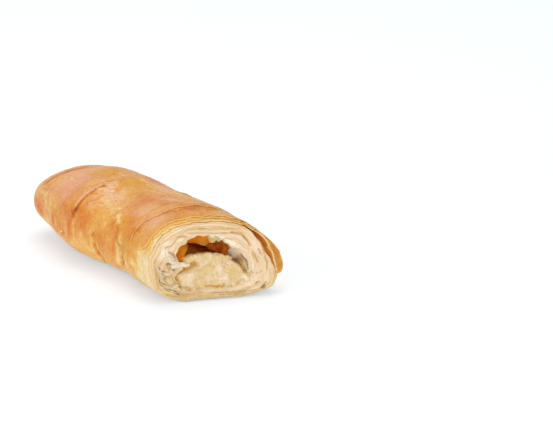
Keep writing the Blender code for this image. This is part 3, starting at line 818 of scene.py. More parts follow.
def tidy_surface(piece, merge=0.001 * MM):
    """Merges seams and poles and points the faces outwards."""
    hold(piece)
    bpy.ops.object.mode_set(mode="EDIT")
    bpy.ops.mesh.select_all(action="SELECT")
    bpy.ops.mesh.remove_doubles(threshold=merge)
    bpy.ops.mesh.normals_make_consistent(inside=False)
    bpy.ops.object.mode_set(mode="OBJECT")
    bpy.ops.object.shade_smooth()


def add_tints(mesh, values_by_name):
    """Keeps the tints, a value for each vertex, with the mesh."""
    for name, values in values_by_name.items():
        attribute = mesh.attributes.new(name, "FLOAT", "POINT")
        attribute.data.foreach_set("value", values)


def grid(name, columns, rows):
    """A flat square grid with x and y from -1 to 1, to be laid out as a piece."""
    deselect_all()
    bpy.ops.mesh.primitive_grid_add(x_subdivisions=columns, y_subdivisions=rows, size=2, location=(0, 0, 0))
    piece = bpy.context.object
    piece.name = name
    piece.data.name = name
    return piece


def at_each(ring, values):
    """The ring at each of the values, as functions of the angle alone."""
    return [lambda angle, value=value: ring(angle, value) for value in values]


def wrap(name, rings, angles, looped=False):
    """A grid wrapped round the roll. Each ring is a function of the angle that gives a point of the form and
    the tints there, and the last ring meets the first where the piece is looped."""
    rows = len(rings) if looped else len(rings) - 1
    columns = len(angles)
    piece = grid(name, rows, columns)
    made = {}
    values_by_name = {}
    for vertex in piece.data.vertices:
        row = round((vertex.co.x + 1) / 2 * rows) % len(rings)
        column = round((vertex.co.y + 1) / 2 * columns) % columns
        if (row, column) not in made:
            made[row, column] = rings[row](angles[column])
        point, shades = made[row, column]
        vertex.co = point + TO_FRAME
        for tint, value in shades.items():
            values_by_name.setdefault(tint, []).append(value)
    add_tints(piece.data, values_by_name)
    tidy_surface(piece)
    return piece


def finish_piece(piece, material, replaced=None):
    """Gives the piece its material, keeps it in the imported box, and lets it ride on the roll."""
    piece.data.materials.clear()
    piece.data.materials.append(material)
    low, high = (Vector(corner) for corner in cad_box)
    for vertex in piece.data.vertices:
        for k in range(3):
            vertex.co[k] = min(max(vertex.co[k], low[k]), high[k])
    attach(piece, "root")
    if replaced:
        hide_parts(replaced)
    return piece


def baked_tints(share, angle):
    """Browning and warmth of the skin, with the painted highlights and shade of the lines on it, and a painted
    sheen that makes the top paler and more peach.
    """
    up = math.sin(angle)
    upper = smooth(1.6 * up - 0.4)
    lined, warmed, _ = skin_lines(share, angle)
    browning_and_painted_light = 0.46 + 0.05 * streaks(share, angle, 24 * MM, 9 * MM) - 0.16 * smooth(-up * 1.6 + 0.1) + lined
    # Paler and more peach on the top: a painted sheen, the sky's reflection.
    browning_and_painted_light -= 0.05 * upper
    warmth_and_sheen = 0.24 + 0.30 * upper + warmed
    # The patches below have uneven outlines, because the place is pushed about first.
    spot = on_skin(share, angle) / (4.5 * MM)
    share += 2.2 * MM / LENGTH * (noise.noise(spot) + 0.5 * noise.noise(spot * 2.7))
    pushed_round = noise.noise(spot + Vector((7, 3, 1))) + 0.5 * noise.noise(spot * 2.3)
    angle += 2.6 * MM / SKIN_RADIUS * pushed_round
    for centre, radius_x, radius_t, brown, warm in BAKED:
        amount = patch(share, angle, centre, radius_x, radius_t)
        browning_and_painted_light += brown * amount
        warmth_and_sheen += warm * amount
    return browning_and_painted_light, warmth_and_sheen


def fold_shade(share, angle):
    """1 in the crease under the lip of a fold, where the skin gets a painted shade."""
    dark = 0.0
    for row in FOLDS:
        h, _, _ = ridge(share, angle, row)
        if h < 0:
            dark = max(dark, min(-h / (0.35 * row[2]), 1.0) ** 2.5)
    return dark


def skin_point(share, angle, sunk=0.0, lifted=0.0, extra=0.0):
    """Point of the skin with its relief, sunk, lifted and raised by something extra."""
    height, along, across = skin_relief(share, angle)
    moved_share = max(share + along / LENGTH, 0.0)
    moved_angle = angle + across / SKIN_RADIUS
    y, z = skin(moved_share, moved_angle, sunk, lifted, height + extra)
    return place(moved_share, y, z)


def tip_shares(count, end):
    """Shares of the length from the tip to the end, evenly spaced along the skin."""
    steps = 4000
    fine = [end * (k / steps) ** 2.2 for k in range(steps + 1)]
    walked = [0.0]
    for a, b in zip(fine, fine[1:]):
        walked.append(walked[-1] + math.hypot((b - a) * LENGTH, (nose(b) - nose(a)) * SKIN_RADIUS))
    shares = []
    k = 0
    for n in range(1, count + 1):
        goal = walked[-1] * n / count
        while walked[k] < goal and k < steps:
            k += 1
        shares.append(fine[k])
    return shares


def crust_rings():
    """The crust: its skin from the tip to the torn end, its underside there, the wall round the filling."""
    thickness = LEAVES[0][7]

    def shades(share, angle, edge=0.0):
        browning_and_painted_light, warmth_and_sheen = baked_tints(share, angle)
        return {"browning_and_painted_light": browning_and_painted_light, "warmth_and_sheen": warmth_and_sheen, "fold_crease_shade": fold_shade(share, angle), "edge": edge}

    def tip_pole(_):
        return place(0.0, *section_middle(0.0)), shades(0.0, 0.0)

    def skin_ring(angle, share):
        return skin_point(share, angle), shades(share, angle)

    def end_ring(angle, part):
        end = leaf_end(0, angle)
        share = BODY_END + (end - BODY_END) * part
        to_end = 1 - (1 - part) * (end - BODY_END) * LENGTH / (0.9 * MM)
        edge = smooth(to_end) * (0.4 + 0.5 * bump(angle, FAR_SIDE, LEAVES[0][3]))
        point = skin_point(share, angle, 0.16 * MM * max(to_end, 0.0), leaf_curl(0, angle, share))
        return point, shades(share, angle, edge)

    def rim(angle):
        end = leaf_end(0, angle)
        point = skin_point(end + 0.08 * MM / LENGTH, angle, thickness * 0.7, leaf_curl(0, angle, end))
        return point, shades(end, angle, 0.4)

    def under_ring(angle, part):
        end = leaf_end(0, angle)
        share = end + (leaf_foot(0, angle) - end) * part
        lifted = leaf_curl(0, angle, share) * (1 - smooth(part * 3 - 2))
        streaky = streaks(share, angle, 2 * MM, 6 * MM)
        return skin_point(share, angle, thickness, lifted), shades(share, angle, 0.55 - streaky)

    def hidden_ring(angle, share):
        return skin_point(share, angle, HIDDEN_DEPTH), shades(share, angle, 1.0)

    def wall_ring(angle, depth):
        share = 1 - depth * MM / LENGTH
        return place(share, *hollow(share, angle)), shades(share, angle, 1.0)

    def inner_pole(_):
        share = 1 - HOLLOW_END / LENGTH
        return place(share, *core_middle(share)), shades(share, 0.0, 1.0)

    return [
        tip_pole,
        *at_each(skin_ring, tip_shares(ROWS_TO_BODY, BODY_END)),
        *at_each(end_ring, [row / ROWS_AT_END for row in range(1, ROWS_AT_END + 1)]),
        rim,
        *at_each(under_ring, (0.0, 0.25, 0.5, 0.75, 1.0)),
        *at_each(hidden_ring, HIDDEN_SHARES),
        *at_each(wall_ring, HOLLOW_DEPTHS),
        inner_pole,
    ]


def near_part(angle):
    """1 where the leaves lie closest, on the near side."""
    return smooth(3 * bump(angle, NEAR_SIDE, NEAR_HALF_SPAN))


def crevice(angle):
    """How much of the deeper gap between the ring and the loose leaves lies here."""
    return smooth(1.6 * bump(angle, math.radians(21), math.radians(26)))


def ring_depth(angle, share=1.0):
    """Depth of the ring's outer edge under the skin. Low on the far side it swells out to the leaves."""
    swell = smooth(1.6 * bump(angle, math.radians(-16), math.radians(24))) * smooth((share - 0.955) / 0.035)
    return RING_DEPTH * (1 - NEAR_SQUEEZE * near_part(angle)) + (0.8 * crevice(angle) - 1.2 * swell) * MM


def ring_edge(share, angle):
    """Point (y, z) of the ring's outer edge."""
    return skin(share, angle, ring_depth(angle, share), 0.0, skin_relief(share, angle)[0])


def leaf_rings(number):
    """A leaf under the crust, from where it is hidden to its torn end and back on its underside."""
    depth, thickness = LEAVES[number][6:]

    def ring(angle, row):
        part, sunk, nudge, edge = row
        end = leaf_end(number, angle)
        start = min(leaf_foot(number - 1, angle), end - 3 * MM / LENGTH) - 1.5 * MM / LENGTH
        share = start + (end - start) * part + nudge / LENGTH
        lifted = leaf_curl(number, angle, share)
        waves = noise_at(share * LENGTH / (2.2 * MM), math.cos(angle) * 8, math.sin(angle) * 8 + 3 * number)
        near = near_part(angle)
        to_edge = smooth(1 - (end - share) * LENGTH / (0.8 * MM))
        under = smooth(2 * edge - 1) * smooth((1 - part) * 12)
        rim = min(edge, 1 - under)
        browning_and_painted_light, warmth_and_sheen = baked_tints(share, angle)
        browning_and_painted_light -= PALER_THAN_CRUST[number] * (1 - under)
        shades = {
            "browning_and_painted_light": browning_and_painted_light - 0.18 * near - 0.10 * rim + 0.12 * under,
            "warmth_and_sheen": warmth_and_sheen - 0.22 * (number - 1) + 0.3 * under,
            "fold_crease_shade": 0.0,
            "edge": max(rim, to_edge * (1 - under)) * (1 - 0.7 * near) * PALE_EDGE[number],
        }
        sunk *= 1 - NEAR_SQUEEZE * near
        return skin_point(share, angle, sunk, lifted, 0.12 * MM * waves * part), shades

    outside = [(row / LEAF_ROWS, depth, 0.0, 0.0) for row in range(LEAF_ROWS + 1)]
    torn_edge = (1.0, depth + thickness / 2, 0.07 * MM, 1.0)
    underside = [(part, depth + thickness, 0.0, 1.0) for part in (1.0, 0.92, 0.8, 0.6, 0.3, 0.0)]
    return at_each(ring, [*outside, torn_edge, *underside])


def laid_out(rows):
    """The rows of a table of ways, with their points and sizes in metres and the box round each."""
    made = []
    for way, half, depth, shade in rows:
        points = [Vector(point) * MM for point in way]
        made.append((points, half * MM, depth * MM, shade, box_round(points, 3.2 * half * MM)))
    return made


def worn(spot, rows, shake):
    """Depth and shade that the ways in the rows give the cut at this spot."""
    deep = 0.0
    shaded = 0.0
    for points, half, depth, shade, box in rows:
        if box[0] < spot.x < box[1] and box[2] < spot.y < box[3]:
            near = way_distance(spot, points) / (half * (1 + 0.6 * shake))
            if near < 3.0:
                amount = math.exp(-near * near)
                deep += depth * amount
                shaded = max(shaded, shade * amount)
    return deep, shaded


def cut_layers(part, angle):
    """How far the cut lies back here, how open the crease between two wraps is, and the tone of the wrap."""
    way = Vector((math.cos(angle), math.sin(angle), 0.0))
    squashed = bump(angle, SQUASHED_SIDE, SQUASHED_HALF_SPAN)

    def rough(fineness, height):
        return noise.noise(way * fineness + Vector((0, 0, height)))

    edges = [0.0]
    for number, edge in enumerate(WRAP_EDGES, 1):
        drift = 0.10 * rough(1.7, 4.3 * number) + 0.035 * rough(5, 2.9 * number)
        drift += 0.05 * squashed * rough(11, 6.1 * number)
        edges.append(max(edge + drift, edges[-1] + 0.03))
    edges.append(max(1.02, edges[-1] + 0.03))
    wrap_number = sum(1 for edge in edges[1:-1] if part > edge)
    start, end = edges[wrap_number : wrap_number + 2]
    opening = 0.0
    for edge, apart in ((wrap_number, part - start), (wrap_number + 1, end - part)):
        if 0 < edge < len(edges) - 1:
            opened = smooth(0.02 + 1.5 * rough(2.3, 7.3 * edge) + 0.2 * squashed)
            half = 0.016 + 0.014 * opened
            opening = max(opening, (0.05 + 0.75 * opened) * math.exp(-((apart / half) ** 2)))
    fibre = abs(rough(3.2, 16 * part))
    tone = 0.7 * rough(1.6, 5.1 * wrap_number + 2) - 0.2 * (0.25 - fibre)
    across_wrap = min(max((part - start) / (end - start), 0.0), 1.0)
    back = 0.26 * MM * (0.6 + rough(2.2, 3.7 * wrap_number))
    back += 0.16 * MM * abs(2 * across_wrap - 1) ** 3
    back += 0.06 * MM * fibre + 0.03 * MM * rough(5, 40 * part)
    back += 0.22 * MM * rough(8, 7 * part)
    back += 0.10 * MM * rough(22, 14 * part)
    back += opening * 0.45 * MM
    crumpled = rough(5, 4 * part) + 0.45
    crumpled += 0.7 * (0.5 - abs(rough(10, 8 * part)))
    back += 1.05 * MM * squashed * max(crumpled, 0.0) * smooth(part * 5)
    return back, opening, tone


def tints(gap=0.0, tone=0.0, inside=0.0, outer=0.0, stain=0.0, burnt_and_shade=0.0):
    """Tints of the cut pastry. The gap tint is a painted olive shade in creases and crevices, and the darkest
    tint is browning together with painted shade in cracks and deep in the air gap.
    """
    return {"gap": gap, "tone": tone, "inside": inside, "outer": outer, "stain": stain, "burnt_and_shade": burnt_and_shade}


def ring_rings():
    """The laminated ring of the cut: its outer edge, its face, and the wall of the air gap."""
    creases = laid_out(CREASES)
    cracks = laid_out(CRACKS)

    def outer_ring(angle, share):
        return place(share, *ring_edge(share, angle)), tints(outer=1.0, inside=0.9 * crevice(angle))

    def face_ring(angle, part):
        outer = Vector(ring_edge(1.0, angle))
        inner = Vector(hollow(1.0, angle))
        back, gap, tone = cut_layers(part, angle)
        spot = outer.lerp(inner, part)
        along = Vector((inner.y - outer.y, outer.x - inner.x)).normalized()
        shake = noise_at(math.cos(angle) * 9, math.sin(angle) * 9, part * 6)
        spot += along * shake * 0.25 * MM * min(6 * part * (1 - part), 1.0)
        creased, olive = worn(spot, creases, shake)
        torn, dark = worn(spot, cracks, shake)
        back += creased + torn
        rounded = 0.35 * MM * (1 - smooth(part * 12)) + 0.25 * MM * (1 - smooth((1 - part) * 14))
        share = 1.0 - (back + rounded) / LENGTH
        low = smooth((3.4 * MM - spot.y) / (1.2 * MM))
        shades = tints(
            # Painted olive shade in the open creases between the wraps.
            gap=min(0.45 * gap + olive, 1.0),
            # The tone drops in the low band, and on the near side as a painted shade there.
            tone=tone - 0.7 * low - 0.40 * near_part(angle),
            outer=1 - smooth(part * 6),
            stain=spots(spot.x, spot.y, RING_STAINS),
            # Painted shade in the torn cracks.
            burnt_and_shade=0.75 * dark,
        )
        return place(share, *spot), shades

    def wall_ring(angle, part):
        depth = WALL_DEPTH * part**1.4
        share = 1.0 - (depth + 0.6 * MM) / LENGTH
        free = smooth(air_gap(1.0, angle) / (1.5 * MM))
        pale = 0.8 * MM + 13 * MM * bump(angle, math.radians(14), math.radians(30))
        pale += 3 * MM * bump(angle, math.radians(52), math.radians(26))
        lined = smooth((depth - pale) / (2.5 * MM)) * free
        return place(share, *hollow(share, angle)), tints(inside=lined, tone=0.8)

    def back_end(angle):
        return place(RING_SHARES[0], *hollow(RING_SHARES[0], angle)), tints(inside=1.0)

    return [
        *at_each(outer_ring, RING_SHARES),
        *at_each(face_ring, [row / FACE_ROWS for row in range(FACE_ROWS + 1)]),
        *at_each(wall_ring, [row / WALL_ROWS for row in range(1, WALL_ROWS + 1)]),
        back_end,
    ]


# ---------------------------------------------------------------------------
# Materials
# ---------------------------------------------------------------------------
def colour(red, green, blue):
    """Linear colour from the values of a paint chart."""
    chart = [v / 255 for v in (red, green, blue)]
    return tuple(v / 12.92 if v <= 0.04045 else ((v + 0.055) / 1.055) ** 2.4 for v in chart) + (1.0,)


class Recipe:
    """A material that is mixed node by node."""

    def __init__(self, name):
        self.material = bpy.data.materials.new(name)
        self.material.use_nodes = True
        self.tree = self.material.node_tree
        self.shader = self.tree.nodes["Principled BSDF"]
        self.place = self.add("ShaderNodeTexCoord").outputs["Object"]

    def add(self, kind, settings=None, **inputs):
        """A node with its settings, and its inputs with _ for the blanks in their names."""
        made = self.tree.nodes.new(kind)
        for key, value in (settings or {}).items():
            setattr(made, key, value)
        for key, value in inputs.items():
            self.feed(made.inputs[key.replace("_", " ")], value)
        return made

    def feed(self, socket, value):
        """Links the socket to another one, or sets its value."""
        if isinstance(value, bpy.types.NodeSocket):
            self.tree.links.new(value, socket)
        else:
            socket.default_value = value

    def set(self, **inputs):
        """Feeds the inputs of the shader."""
        for key, value in inputs.items():
            self.feed(self.shader.inputs[key.replace("_", " ")], value)

    def tint(self, name):
        """A value that the vertices of the piece carry."""
        return self.add("ShaderNodeAttribute", {"attribute_name": name}).outputs["Fac"]

    def cloud(self, size, detail=2.0, rough=0.5, distortion=0.0, at=None):
        """Noise whose patches are about this big, from 0 to 1."""
        made = self.add("ShaderNodeTexNoise", Detail=detail, Roughness=rough, Distortion=distortion)
        self.feed(made.inputs["Scale"], 1 / size)
        self.feed(made.inputs["Vector"], at or self.place)
        return made.outputs["Fac"]

    def drawn_out(self, turn, squeeze):
        """Places for noise that is drawn out round the roll."""
        made = self.add("ShaderNodeMapping", Vector=self.place)
        self.feed(made.inputs["Rotation"], (0.0, 0.0, turn))
        self.feed(made.inputs["Scale"], (1.0, squeeze, squeeze))
        return made.outputs[0]

    def warped(self, size, amount):
        """Places pushed about by noise."""
        noisy = self.add("ShaderNodeTexNoise", Vector=self.place, Detail=2.0, Scale=1 / size)
        pushed = self.add("ShaderNodeVectorMath", {"operation": "MULTIPLY_ADD"})
        values = (noisy.outputs["Color"], (amount, amount, amount), self.place)
        for socket, value in zip(pushed.inputs, values):
            self.feed(socket, value)
        return pushed.outputs[0]

    def cells(self, size, at, feature, output):
        """An output of cells of this size: a value for each cell, or the distance from the cells' edges."""
        made = self.add("ShaderNodeTexVoronoi", {"feature": feature}, Vector=at, Scale=1 / size)
        return made.outputs[output]

    def maths(self, operation, *values, clamp=False):
        """What the operation makes of the values."""
        made = self.add("ShaderNodeMath", {"operation": operation, "use_clamp": clamp})
        for socket, value in zip(made.inputs, values):
            self.feed(socket, value)
        return made.outputs[0]

    def swing(self, value, amount):
        """Noise from 0 to 1 as a change of plus or minus half the amount."""
        return self.maths("MULTIPLY_ADD", value, amount, -amount / 2)

    def total(self, *values):
        """All the values added up."""
        result = values[0]
        for value in values[1:]:
            result = self.maths("ADD", result, value)
        return result

    def between(self, value, low, high, out_low=0.0, out_high=1.0):
        """out_low where the value is low, out_high where it is high, and a smooth step between them."""
        made = self.add("ShaderNodeMapRange", {"clamp": True, "interpolation_type": "SMOOTHSTEP"})
        limits = {"Value": value, "From Min": low, "From Max": high, "To Min": out_low, "To Max": out_high}
        for key, number in limits.items():
            self.feed(made.inputs[key], number)
        return made.outputs["Result"]

    def ramp(self, value, stops):
        """The colour at this value on a scale of colours."""
        made = self.add("ShaderNodeValToRGB", Fac=value)
        elements = made.color_ramp.elements
        while len(elements) < len(stops):
            elements.new(1.0)
        for element, (position, shade) in zip(elements, stops):
            element.position = position
            element.color = shade
        return made.outputs["Color"]

    def blend(self, amount, first, second):
        """The first colour, and by this amount the second."""
        made = self.add("ShaderNodeMix", {"data_type": "RGBA", "blend_type": "MIX", "clamp_factor": True})
        for number, value in ((0, amount), (6, first), (7, second)):
            self.feed(made.inputs[number], value)
        return made.outputs[2]

    def over(self, under, shade, value, low, high, strength):
        """The shade laid over a colour where the value goes from low to high, at most this strongly."""
        return self.blend(self.between(value, low, high, 0.0, strength), under, shade)

    def tinted(self, under, shade, name, strength):
        """The shade laid over a colour where the vertices carry this tint."""
        return self.blend(self.maths("MULTIPLY", self.tint(name), strength, clamp=True), under, shade)

    def relief(self, *layers):
        """Bumps one over the other, each as (height, distance, strength)."""
        normal = None
        for height, distance, strength in layers:
            made = self.add("ShaderNodeBump", Height=height, Distance=distance, Strength=strength)
            if normal:
                self.feed(made.inputs["Normal"], normal)
            normal = made.outputs["Normal"]
        self.feed(self.shader.inputs["Normal"], normal)


def baked_crust():
    """Browned filo: patches of browning, papery specks with painted glints, painted highlights along raised
    streaks, fine wrinkles darker in their grooves, painted shade in the creases under the folds, and pale torn
    edges.
    """
    mix = Recipe("baked_crust")
    lines = mix.cloud(1.6 * MM, 3.0, 0.6, 0.6, at=mix.drawn_out(0.5, 0.28))
    sheets = mix.cells(5.5 * MM, mix.warped(5 * MM, 5 * MM), "F1", "Color")
    crackle = mix.cells(2.6 * MM, mix.warped(3 * MM, 3 * MM), "DISTANCE_TO_EDGE", "Distance")
    broad = mix.cloud(11 * MM, 3.0, 0.55, 0.8)
    middling = mix.cloud(3.6 * MM, 3.0, 0.6, 0.5)
    fine = mix.cloud(0.9 * MM, 3.0, 0.6)
    grain = mix.cloud(0.45 * MM, 2.0, 0.6, 0.8, at=mix.drawn_out(-0.4, 0.5))
    browning_and_painted_light = mix.total(
        mix.tint("browning_and_painted_light"),
        mix.swing(broad, 0.24),
        mix.swing(middling, 0.22),
        mix.swing(fine, 0.36),
        mix.swing(grain, 0.34),
        mix.swing(lines, 0.22),
        mix.swing(sheets, 0.10),
    )
    baked = mix.ramp(
        browning_and_painted_light,
        (
            (0.00, colour(244, 218, 164)),
            (0.20, colour(236, 194, 112)),
            (0.38, colour(226, 164, 74)),
            (0.54, colour(218, 138, 44)),
            (0.70, colour(210, 112, 22)),
            (0.85, colour(186, 82, 10)),
            (1.00, colour(108, 42, 8)),
        ),
    )
    warmth_and_sheen = mix.total(mix.tint("warmth_and_sheen"), mix.swing(mix.cloud(7 * MM, 2.0), 1.0))
    # Peach where the warmth is high; that warmth holds the painted sheen on the top too.
    peach = mix.over(baked, colour(230, 168, 134), warmth_and_sheen, 0.1, 1.3, 0.7)
    ochre = mix.over(peach, colour(222, 164, 52), warmth_and_sheen, -0.1, -1.1, 0.6)
    # Paler along the raised streaks of the lines bump: a painted highlight on their ridges, with a papery
    # paleness.
    paper_and_ridge_highlight = mix.over(ochre, colour(246, 212, 170), lines, 0.56, 0.72, 0.35)
    # Pale specks where the fine noise, which is also a bump, is high: paler blisters with painted glints on
    # them.
    specks_and_glints = mix.over(paper_and_ridge_highlight, colour(250, 220, 184), fine, 0.62, 0.72, 0.45)
    peachy = mix.between(warmth_and_sheen, -0.2, 0.9, 0.10, 0.60)
    # Pinkish-white specks where the skin is peachy: painted glints on a papery grain.
    papery_glints = mix.maths("MULTIPLY", mix.between(grain, 0.58, 0.70), peachy)
    specks_and_glints = mix.blend(papery_glints, specks_and_glints, colour(252, 228, 206))
    # Darker along the grooves of the crackle bump: browning, with painted shade in the grooves.
    wrinkled = mix.over(specks_and_glints, colour(200, 112, 40), crackle, 0.10, 0.0, 0.16)
    # Painted shade in the crease under each fold's lip, where the lip hangs over the skin.
    creased = mix.tinted(wrinkled, colour(170, 82, 22), "fold_crease_shade", 0.75)
    edged = mix.tinted(creased, colour(248, 200, 110), "edge", 0.65)
    mix.set(
        Base_Color=edged,
        Roughness=mix.between(middling, 0.3, 0.7, 0.34, 0.56),
        Subsurface_Weight=0.12,
        Subsurface_Radius=(1.0, 0.45, 0.18),
        Subsurface_Scale=1.6 * MM,
        Specular_IOR_Level=0.28,
        Coat_Weight=0.16,
        Coat_Roughness=0.25,
    )
    mix.relief(
        (sheets, 0.12 * MM, 0.8),
        (lines, 0.40 * MM, 0.5),
        (middling, 0.6 * MM, 0.35),
        (mix.between(crackle, 0.0, 0.16), 0.14 * MM, 0.5),
        (fine, 0.34 * MM, 0.8),
        (grain, 0.20 * MM, 0.8),
    )
    return mix.material


def cut_pastry():
    """Pale cut filo with pinkish and olive patches, a painted olive shade in its creases, a painted dark shade
    in its cracks, and the orange roast of the air gap inside.
    """
    mix = Recipe("cut_pastry")
    broad = mix.cloud(5 * MM, 3.0, 0.55, 0.4)
    fine = mix.cloud(0.8 * MM, 3.0, 0.6)
    tone = mix.maths("MULTIPLY_ADD", mix.tint("tone"), 0.9, 0.5)
    cream = mix.ramp(
        mix.total(tone, mix.swing(broad, 0.5), mix.swing(fine, 0.3)),
        (
            (0.0, colour(212, 178, 128)),
            (0.3, colour(224, 196, 152)),
            (0.6, colour(234, 210, 176)),
            (1.0, colour(244, 228, 206)),
        ),
    )
    pinkish = mix.over(cream, colour(238, 202, 180), mix.cloud(2.8 * MM, 2.0), 0.50, 0.66, 0.6)
    greenish = mix.over(pinkish, colour(218, 200, 138), mix.cloud(2.4 * MM, 2.0, 0.5, 0.6), 0.54, 0.70, 0.5)
    stained = mix.tinted(greenish, colour(232, 208, 96), "stain", 0.65)
    # Painted olive shade in the creases and crevices that carry the gap tint.
    rimmed = mix.tinted(stained, colour(240, 204, 146), "outer", 0.50)
    parted = mix.tinted(rimmed, colour(206, 164, 84), "gap", 0.54)
    roast = mix.ramp(
        mix.total(mix.cloud(6 * MM, 2.0, 0.5, 0.5), mix.swing(fine, 0.2)),
        (
            (0.30, colour(244, 106, 6)),
            (0.50, colour(252, 148, 30)),
            (0.72, colour(252, 184, 84)),
        ),
    )
    inside = mix.total(mix.tint("inside"), mix.swing(mix.cloud(2.6 * MM, 2.0), 0.5))
    lined = mix.over(parted, roast, inside, 0.3, 0.7, 1.0)
    # Dark brown: browning, and painted shade in the torn cracks and deep in the air gap.
    burnt_and_shade = mix.blend(mix.tint("burnt_and_shade"), lined, colour(116, 38, 2))
    dull = mix.total(mix.tint("inside"), mix.tint("burnt_and_shade"))
    mix.set(
        Base_Color=burnt_and_shade,
        Roughness=0.60,
        Specular_IOR_Level=mix.between(dull, 0.0, 1.0, 0.25, 0.04),
        Subsurface_Weight=0.45,
        Subsurface_Radius=(1.0, 0.6, 0.3),
        Subsurface_Scale=2.4 * MM,
    )
    mix.relief((broad, 0.5 * MM, 0.2), (fine, 0.22 * MM, 0.5))
    return mix.material


def chicken_cream():
    """Cream with yellow and whitish shreds, painted shade in its dents, and an orange sauce deep in the air
    gap.
    """
    mix = Recipe("chicken_cream")
    broad = mix.cloud(5.5 * MM, 2.0, 0.5, 0.6)
    middling = mix.cloud(2.0 * MM, 3.0, 0.55, 0.4)
    fine = mix.cloud(0.55 * MM, 3.0, 0.6)
    cream = mix.ramp(
        mix.total(mix.maths("MULTIPLY", broad, 0.55), mix.maths("MULTIPLY", middling, 0.45)),
        (
            (0.30, colour(206, 166, 96)),
            (0.42, colour(218, 186, 132)),
            (0.54, colour(224, 196, 150)),
            (0.72, colour(236, 216, 186)),
        ),
    )
    cream = mix.over(cream, colour(212, 190, 126), mix.cloud(3.2 * MM, 2.0, 0.5, 0.8), 0.46, 0.60, 0.55)
    cream = mix.over(cream, colour(204, 164, 108), fine, 0.50, 0.62, 0.6)
    patchy = mix.swing(middling, 1.0)
    shreds = (("yellowed", 0.75, colour(220, 184, 96)), ("whitened", 0.7, colour(244, 226, 208)))
    for tint, strength, shade in shreds:
        amount = mix.maths("MULTIPLY", mix.total(mix.tint(tint), patchy), strength, clamp=True)
        cream = mix.blend(amount, cream, shade)
    painted_dent_shade = mix.tinted(cream, colour(200, 144, 44), "painted_dent_shade", 0.9)
    sauce = mix.ramp(
        mix.total(broad, mix.swing(fine, 0.3)),
        ((0.3, colour(246, 124, 10)), (0.5, colour(252, 160, 30)), (0.7, colour(252, 168, 48))),
    )
    sauce = mix.tinted(sauce, colour(214, 84, 10), "roasted", 0.85)
    mix.set(
        Base_Color=mix.tinted(painted_dent_shade, sauce, "stained", 0.95),
        Roughness=mix.between(middling, 0.3, 0.7, 0.28, 0.5),
        Subsurface_Weight=0.35,
        Subsurface_Radius=(1.0, 0.65, 0.35),
        Subsurface_Scale=2 * MM,
        Coat_Weight=0.25,
        Coat_Roughness=0.25,
    )
    mix.relief((middling, 0.35 * MM, 0.3), (fine, 0.16 * MM, 0.6))
    return mix.material


# ---------------------------------------------------------------------------
# Filling
# ---------------------------------------------------------------------------
def filling_body():
    """The filling that runs through the roll, before its lumps are laid on. Low down it swells out, and on
    the far side it draws back a little."""
    spread = smooth(0.88)

    def low_side(angle):
        """1 low down, falling to 0 on the sides."""
        return smooth(0.35 - 1.6 * math.sin(angle))

    def inner_pole(angle):
        return from_core(1.0 - FILLING_END / LENGTH, angle, 0.0), {}

    def ring(angle, depth):
        share = 1.0 - depth * MM / LENGTH
        reach = filling_reach(share, angle)
        reach += spread * 0.75 * MM * low_side(angle)
        reach -= spread * 1.2 * MM * bump(angle, math.radians(30), math.radians(30))
        return from_core(share, angle, reach), {}

    def face_ring(angle, part):
        reach = filling_reach(1.0, angle) + 0.6 * MM * low_side(angle)
        reach = (reach - 1.1 * MM * bump(angle, math.radians(30), math.radians(30))) * part
        return from_core(1.0, angle, reach) + Vector((0.3 * MM * (1 - part), 0, 0)), {}

    rings = [
        inner_pole,
        *at_each(ring, FILLING_DEPTHS),
        *at_each(face_ring, (0.93, 0.8, 0.6, 0.4, 0.2, 0.0)),
    ]
    return wrap("filling_cream", rings, even_angles(72))


def shred_form(kind):
    """One lump (kind 0) or one pulled strand of chicken (kind 1), about 1 mm in radius."""
    deselect_all()
    bpy.ops.mesh.primitive_ico_sphere_add(subdivisions=3, radius=1.0, location=(0, 0, 0))
    form = bpy.context.object
    bpy.ops.object.mode_set(mode="EDIT")
    bpy.ops.mesh.select_all(action="SELECT")
    bpy.ops.transform.resize(value=(3.4, 0.62, 0.5) if kind else (1.35, 1.05, 0.8))
    bpy.ops.object.mode_set(mode="OBJECT")
    for vertex in form.data.vertices:
        fibre = Vector((vertex.co.x * 0.5, vertex.co.y * 2.6, vertex.co.z * 2.6)) + Vector((kind * 9, 0, 0))
        vertex.co *= 1 + 0.28 * noise.noise(fibre)
        if kind:
            vertex.co.y += 0.30 * math.sin(vertex.co.x * 0.9)
    return form


def lay_lump(form, spot, size, turn):
    """A copy of the form, turned and laid on this spot."""
    copy = form.copy()
    copy.data = form.data.copy()
    bpy.context.scene.collection.objects.link(copy)
    copy.data.transform(Matrix.Translation(spot + TO_FRAME) @ turn @ Matrix.Scale(size, 4))
    return copy


def tumbled(dice, axis, tilt, tilt_axis):
    """Any turn about the axis, with a small tilt about the other."""
    any_turn = Matrix.Rotation(dice.uniform(0, 6.28), 4, axis)
    return any_turn @ Matrix.Rotation(dice.uniform(-tilt, tilt), 4, tilt_axis)


